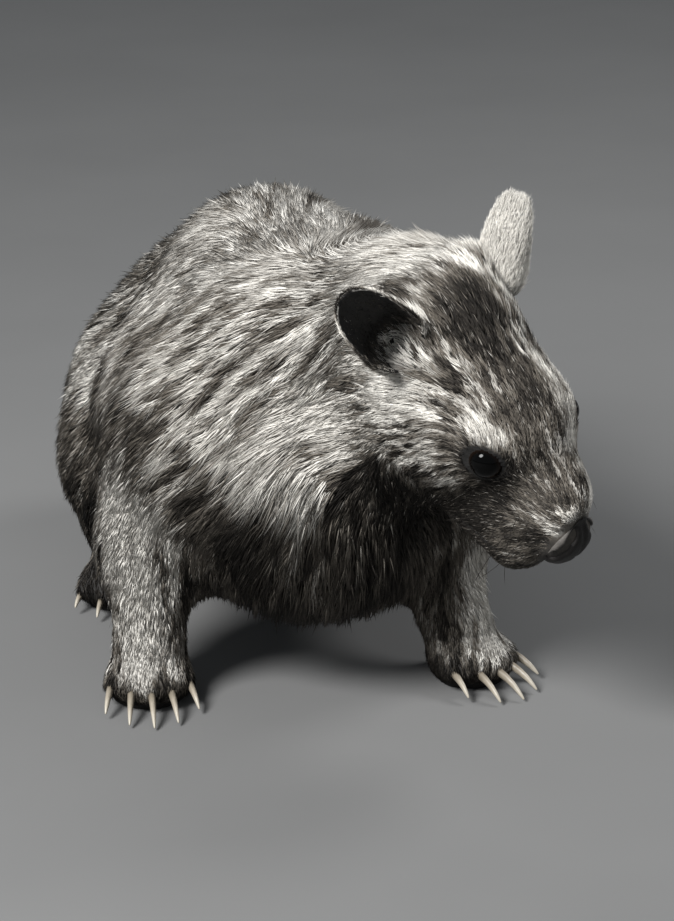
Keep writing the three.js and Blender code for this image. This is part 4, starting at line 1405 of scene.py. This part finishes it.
def region_names(points, normals, parts):
    """The coat piece that each root belongs to."""
    names = np.full(len(points), "coat_neck", dtype=object)
    side = np.where(points[:, 0] > 0, "left", "right")
    y = points[:, 1] / MM
    trunk = np.isin(parts, codes("torso", "tail"))
    under = trunk & (normals[:, 2] < UNDERSIDE)
    face = np.isin(parts, codes("head", "nose", "lid_bulge"))
    ahead, beside, _ = to_head(points).T
    for word, sign in SIDES.items():
        here = side == word
        names[trunk & here & (y < -45)] = f"coat_shoulder_{word}"
        names[trunk & here & (y >= -45) & (y < 95)] = f"coat_flank_{word}"
        names[trunk & here & (y >= 95)] = f"coat_rump_{word}"
        names[under & here] = f"coat_belly_{word}"
        on_side = face & ((beside > 0) == (sign > 0))
        names[on_side & (ahead > 88)] = f"coat_face_{word}"
        names[on_side & (ahead <= 88)] = f"coat_cheek_{word}"
        for limb in ("foreleg", "hindleg"):
            names[parts == NODE_CODE[f"{limb}_{word}"]] = f"coat_{limb}_{word}"
    foot = np.isin(parts, codes(*FEET, "toes"))
    names[foot & (y < -40)] = "coat_forefeet"
    names[foot & (y >= -40)] = "coat_hindfeet"
    return names


def streaks_of(points, ways, lengths, lock, rng, steps=3):
    """One number for each tuft, alike along the lie from lock to lock and unlike across it."""
    middles = np.unique(lock)
    places = points[middles]
    tree = kd_tree(places)
    stride = ways[middles] * (lengths[middles] * 0.45)[:, None]
    noise = rng.normal(size=len(middles))
    total = noise.copy()
    for way in (1, -1):
        onward = np.array([tree.find(place)[1] for place in places + stride * way])
        at = np.arange(len(middles))
        for _ in range(steps):
            at = onward[at]
            total += noise[at]
    return (total / math.sqrt(2 * steps + 1))[np.searchsorted(middles, lock)]


def hair_numbers(base_tone, clump, lock, streak, streaky, grizzle, rng):
    """Tone and chance of each tuft: markings with ragged edges, streaks along the lie, grizzle by tuft."""
    count = len(base_tone)
    tone = 0.35 * base_tone + 0.35 * base_tone[lock] + 0.3 * base_tone[clump]
    middling = np.clip(1 - np.abs(tone - 0.55) / 0.47, 0, 1)
    tone = tone + (0.01 + 0.09 * middling) * rng.normal(size=count)[clump]
    tone = tone + (0.015 + 0.07 * middling) * rng.normal(size=count)[lock]
    tone = tone + streaky * (0.2 + middling) * streak
    tone = tone + (0.02 + 0.05 * middling) * rng.normal(size=count)
    grizzled = (rng.random(count) < grizzle) & (tone < 0.3)
    tone = tone + np.where(grizzled, rng.uniform(0.15, 0.5, count), 0.0)
    return tone.clip(0.0, 1.0), rng.random(count)


def coat_from(points, normals, ways, lengths, widths, tones, streaky, grizzle, rng, lock_share=LOCK_SHARE):
    """Tufts gathered in locks: their vertices, triangles, tones and chances."""
    lock, to_middle = locks_of(points, ways, lock_share, rng)
    clump, _ = locks_of(points, ways, CLUMP_SHARE, rng)
    streak = streaks_of(points, ways, lengths, lock, rng)
    count = len(points)
    lock_turn = rng.normal(scale=0.12, size=count)[lock]
    turn = lock_turn + rng.normal(scale=0.09, size=count)
    sides = np.cross(ways, normals)
    ways = unit(ways * np.cos(turn)[:, None] + sides * np.sin(turn)[:, None])
    sides = np.cross(ways, normals)
    gather = (to_middle * sides).sum(1) / lengths
    lock_lift = rng.normal(scale=0.05, size=count)[lock]
    stray = np.where(rng.random(count) < STRAY_SHARE, 0.25, 0.0)
    lifts = np.radians(ROOT_LIFT) + lock_lift + stray + rng.normal(scale=0.07, size=count)
    lifts = np.clip(lifts, 0.15, 0.95)
    settle = np.clip(np.radians(TIP_LIFT) + lock_lift + stray, -0.03, 0.5)
    lengths = lengths * rng.uniform(0.78, 1.18, count)
    widths = widths * rng.uniform(0.75, 1.25, count)
    sway = np.clip(gather * 0.55, -0.2, 0.2) + rng.normal(scale=0.035, size=count)
    sunk = points - normals * 0.5 * MM
    vertices, faces = tuft_mesh(sunk, normals, ways, lengths, widths, lifts, settle, sway, TUFT_RINGS)
    vertices[:, :, 2] = vertices[:, :, 2].clip(0.5 * MM, None)
    tone, chance = hair_numbers(tones, clump, lock, streak, streaky, grizzle, rng)
    return vertices, faces, tone, chance


def build_body_coat(skin, cage, material):
    """The coat on the skin, in pieces by region; eyes, nose pad, mouth and soles stay bare."""
    rng = np.random.default_rng(SEED)
    settings = bpy.context.scene.wombat_coat
    points, normals = positions(skin), vertex_normals(skin)
    spacing = read_attribute(skin, "spacing") * settings.spacing
    parts = read_attribute(skin, "part_code").round().astype(int)
    bare = eye_opening(points) < 1.03
    bare |= in_front_of_pad(points, -0.5)
    muzzle = np.nonzero(in_muzzle(points))[0]
    bare[muzzle] |= mouth_distance(points[muzzle]) < 1.0 * MM
    bare |= (points[:, 2] < 4 * MM) & (normals[:, 2] < -0.4)
    spacing[bare] = 1.0
    chosen, shares = scatter(skin, spacing, rng)
    keep = ~bare[chosen].any(1)
    chosen, shares = chosen[keep], shares[keep]
    roots = blend(points, chosen, shares)
    out = unit(blend(normals, chosen, shares))
    lengths = blend(read_attribute(skin, "length"), chosen, shares) * settings.length
    widths = blend(read_attribute(skin, "width"), chosen, shares)
    tones = blend(read_attribute(skin, "tone"), chosen, shares)
    ways = lie_at(roots, out)
    part = parts[chosen[:, 0]]
    on_face = np.isin(part, codes("head", "lid_bulge"))
    ahead = to_head(roots)[:, 0]
    streaky = np.where(on_face, np.interp(ahead, (80, 112), (0.26, 0.1)), 0.15)
    grizzle = np.where(on_face, 0.08, 0.0)
    vertices, faces, tone, chance = coat_from(
        roots, out, ways, lengths, widths, tones, streaky, grizzle, rng)
    names = region_names(roots, out, part)
    for name in sorted(set(names)):
        here = names == name
        places = unwrap_places(cage, roots[here])
        piece = tuft_object(name, vertices[here], faces, tone[here], chance[here], TUFT_RINGS, places)
        finish_piece(piece, material)


def build_ear_coat(ear, side_name, material):
    """Short hair on an ear's back, longer towards its root, and a little in its cup."""
    rng = np.random.default_rng(SEED + 3 + SIDES[side_name])
    points, normals = positions(ear), vertex_normals(ear)
    back, share = ear_sides(ear, side_name)
    axis = ear_frame(side_name)[1]
    spacing = np.where(back > 0.5, 0.7 * MM, np.where(share < 0.35, 1.3, 2.4) * MM)
    spacing[share < 0.03] = 1.0
    chosen, shares = scatter(ear, spacing, rng)
    roots = blend(points, chosen, shares)
    out = unit(blend(normals, chosen, shares))
    on_back = blend(back, chosen, shares) > 0.5
    along = blend(share, chosen, shares)
    way = np.tile(axis, (len(roots), 1))
    way = unit(way - out * (way * out).sum(1)[:, None])
    lengths = np.interp(along, (0, 0.3, 1.0), (10.0, 8.0, 5.5)) * MM * np.where(on_back, 1.0, 0.6)
    widths = np.full(len(roots), 0.42 * MM)
    round_cup = ear_round(roots, side_name)
    edge = np.abs(2 * round_cup - 1)
    rim_tone = 0.9 if side_name == "left" else 0.12
    back_tones = np.interp(np.maximum(edge, along), (0.8, 0.94), (0.9, rim_tone))
    # Hairs in the cup go near black away from the root: painted shade.
    tones = np.where(on_back, back_tones, np.interp(along, (0.12, 0.35), (0.5, 0.03)))
    vertices, faces, tone, chance = coat_from(
        roots, out, way, lengths, widths, tones, 0.05, 0.0, rng, EAR_LOCK_SHARE)
    places = np.stack((0.02 + 0.46 * on_back + 0.44 * round_cup, along), 1).clip(0, 1)
    piece = tuft_object(f"coat_ear_{side_name}", vertices, faces, tone, chance, TUFT_RINGS, places)
    finish_piece(piece, material)


def ear_round(roots, side_name):
    """How far round the cup each root is, from 0 to 1."""
    root, _, across, _ = ear_frame(side_name)
    half = bpy.context.scene.wombat_face.ear_width / 2 * EAR_SPREAD[side_name]
    return (((roots - root) @ across) / half * 0.5 + 0.5).clip(0, 1)


class WOMBAT_OT_skin(bpy.types.Operator):
    """Builds the animal's one skin inside its coat"""

    bl_idname = "wombat.skin"
    bl_label = "Skin"

    def execute(self, context):
        skin = build_skin()
        finish_piece(skin, skin_material(), FLESH)
        return {"FINISHED"}


class WOMBAT_OT_nose(bpy.types.Operator):
    """Builds the bare pad of the nose"""

    bl_idname = "wombat.nose"
    bl_label = "Nose"

    def execute(self, context):
        # The last colour is the painted highlight on the nostrils' rims.
        leather = leather_material(
            "nose_leather", (0.005, 0.0045, 0.004), (0.016, 0.014, 0.013), 0.5, 900.0, 0.25 * MM,
            (0.13, 0.12, 0.11))
        build_nose(leather)
        return {"FINISHED"}


class WOMBAT_OT_eyes(bpy.types.Operator):
    """Builds both eyeballs and their lids"""

    bl_idname = "wombat.eyes"
    bl_label = "Eyes"

    def execute(self, context):
        wet = eye_material()
        lid_skin = leather_material(
            "lid_skin", (0.003, 0.003, 0.003), (0.009, 0.008, 0.007), 0.6, 1200.0, 0.12 * MM)
        for side_name in SIDES:
            finish_piece(build_eye(side_name), wet, [f"eye_{side_name}"])
            finish_piece(build_lid(side_name), lid_skin)
        return {"FINISHED"}


class WOMBAT_OT_ears(bpy.types.Operator):
    """Builds both ears"""

    bl_idname = "wombat.ears"
    bl_label = "Ears"

    def execute(self, context):
        material = ear_material()
        for side_name in SIDES:
            ear = build_ear(side_name)
            back, _ = ear_sides(ear, side_name)
            # The cup gets tone 0: near black painted shade.
            point_attribute(ear, "tone", back * 0.7)
            finish_piece(ear, material, [f"ear_{side_name}"])
        return {"FINISHED"}


class WOMBAT_OT_claws(bpy.types.Operator):
    """Builds the claws of all four feet"""

    bl_idname = "wombat.claws"
    bl_label = "Claws"

    def execute(self, context):
        horn = claw_material()
        for foot in FEET:
            claws, names = build_claws(foot)
            finish_piece(claws, horn, names)
        return {"FINISHED"}


class WOMBAT_OT_coat(bpy.types.Operator):
    """Grows the coat on the skin and the ears"""

    bl_idname = "wombat.coat"
    bl_label = "Coat"

    def execute(self, context):
        material = coat_material()
        source = bpy.data.objects["flesh_source"]
        cage = cage_of(source)
        build_body_coat(bpy.data.objects["skin"], cage, material)
        for side_name in SIDES:
            build_ear_coat(bpy.data.objects[f"ear_{side_name}_leaf"], side_name, material)
        finish_piece(build_whiskers(bpy.data.objects["skin"]), material)
        bpy.data.objects.remove(cage)
        bpy.data.objects.remove(source)
        return {"FINISHED"}


class WOMBAT_OT_stage(bpy.types.Operator):
    """Sets the floor, the light and the camera"""

    bl_idname = "wombat.stage"
    bl_label = "Stage"

    def execute(self, context):
        settings = context.scene.wombat_stage
        deselect()
        bpy.ops.mesh.primitive_plane_add(size=24.0)
        floor = context.active_object
        floor.name = "floor"
        floor.data.materials.append(floor_material())
        lights = (
            ("key", (-1.5, -1.0, 1.8), (-0.05, 0.0, 0.2), 1.0, settings.key),
            ("rim", (1.6, 0.5, 1.7), (0.1, -0.1, 0.25), 0.8, settings.rim),
        )
        for name, place, aim, size, power in lights:
            turn = (Vector(aim) - Vector(place)).to_track_quat("-Z", "Y").to_euler()
            bpy.ops.object.light_add(type="AREA", location=place, rotation=turn)
            light = context.active_object
            light.name = f"light_{name}"
            light.data.shape = "DISK"
            light.data.size = size
            light.data.energy = power
        world = bpy.data.worlds.new("studio")
        world.use_nodes = True
        background = world.node_tree.nodes["Background"]
        background.inputs["Color"].default_value = WORLD_COLOUR
        background.inputs["Strength"].default_value = WORLD_STRENGTH
        context.scene.world = world
        turn = [math.radians(angle) for angle in CAMERA_TURN]
        bpy.ops.object.camera_add(location=CAMERA_PLACE, rotation=turn)
        camera = context.active_object
        camera.data.lens = settings.lens
        camera.data.sensor_width = 36.0
        context.scene.camera = camera
        context.scene.view_settings.view_transform = "Standard"
        return {"FINISHED"}


OPERATORS = (
    WOMBAT_OT_skin, WOMBAT_OT_nose, WOMBAT_OT_eyes, WOMBAT_OT_ears, WOMBAT_OT_claws, WOMBAT_OT_coat,
    WOMBAT_OT_stage)
SETTINGS = {
    "wombat_coat": WombatCoatSettings,
    "wombat_face": WombatFaceSettings,
    "wombat_stage": WombatStageSettings,
}


class WOMBAT_PT_panel(bpy.types.Panel):
    """Lists the settings and the steps of the wombat"""

    bl_idname = "WOMBAT_PT_panel"
    bl_label = "Wombat"
    bl_space_type = "VIEW_3D"
    bl_region_type = "UI"
    bl_category = "Wombat"

    def draw(self, context):
        for group, kind in SETTINGS.items():
            box = self.layout.box()
            for name in kind.__annotations__:
                box.prop(getattr(context.scene, group), name)
        for operator in OPERATORS:
            self.layout.operator(operator.bl_idname)


def register():
    for kind in (*SETTINGS.values(), *OPERATORS, WOMBAT_PT_panel):
        bpy.utils.register_class(kind)
    for group, kind in SETTINGS.items():
        setattr(bpy.types.Scene, group, bpy.props.PointerProperty(type=kind))


def unregister():
    for group in SETTINGS:
        delattr(bpy.types.Scene, group)
    for kind in (WOMBAT_PT_panel, *reversed(OPERATORS), *reversed(list(SETTINGS.values()))):
        bpy.utils.unregister_class(kind)


def main():
    register()
    bpy.ops.wombat.skin()
    bpy.ops.wombat.nose()
    bpy.ops.wombat.eyes()
    bpy.ops.wombat.ears()
    bpy.ops.wombat.claws()
    bpy.ops.wombat.coat()
    bpy.ops.wombat.stage()


if __name__ == "__main__":
    main()
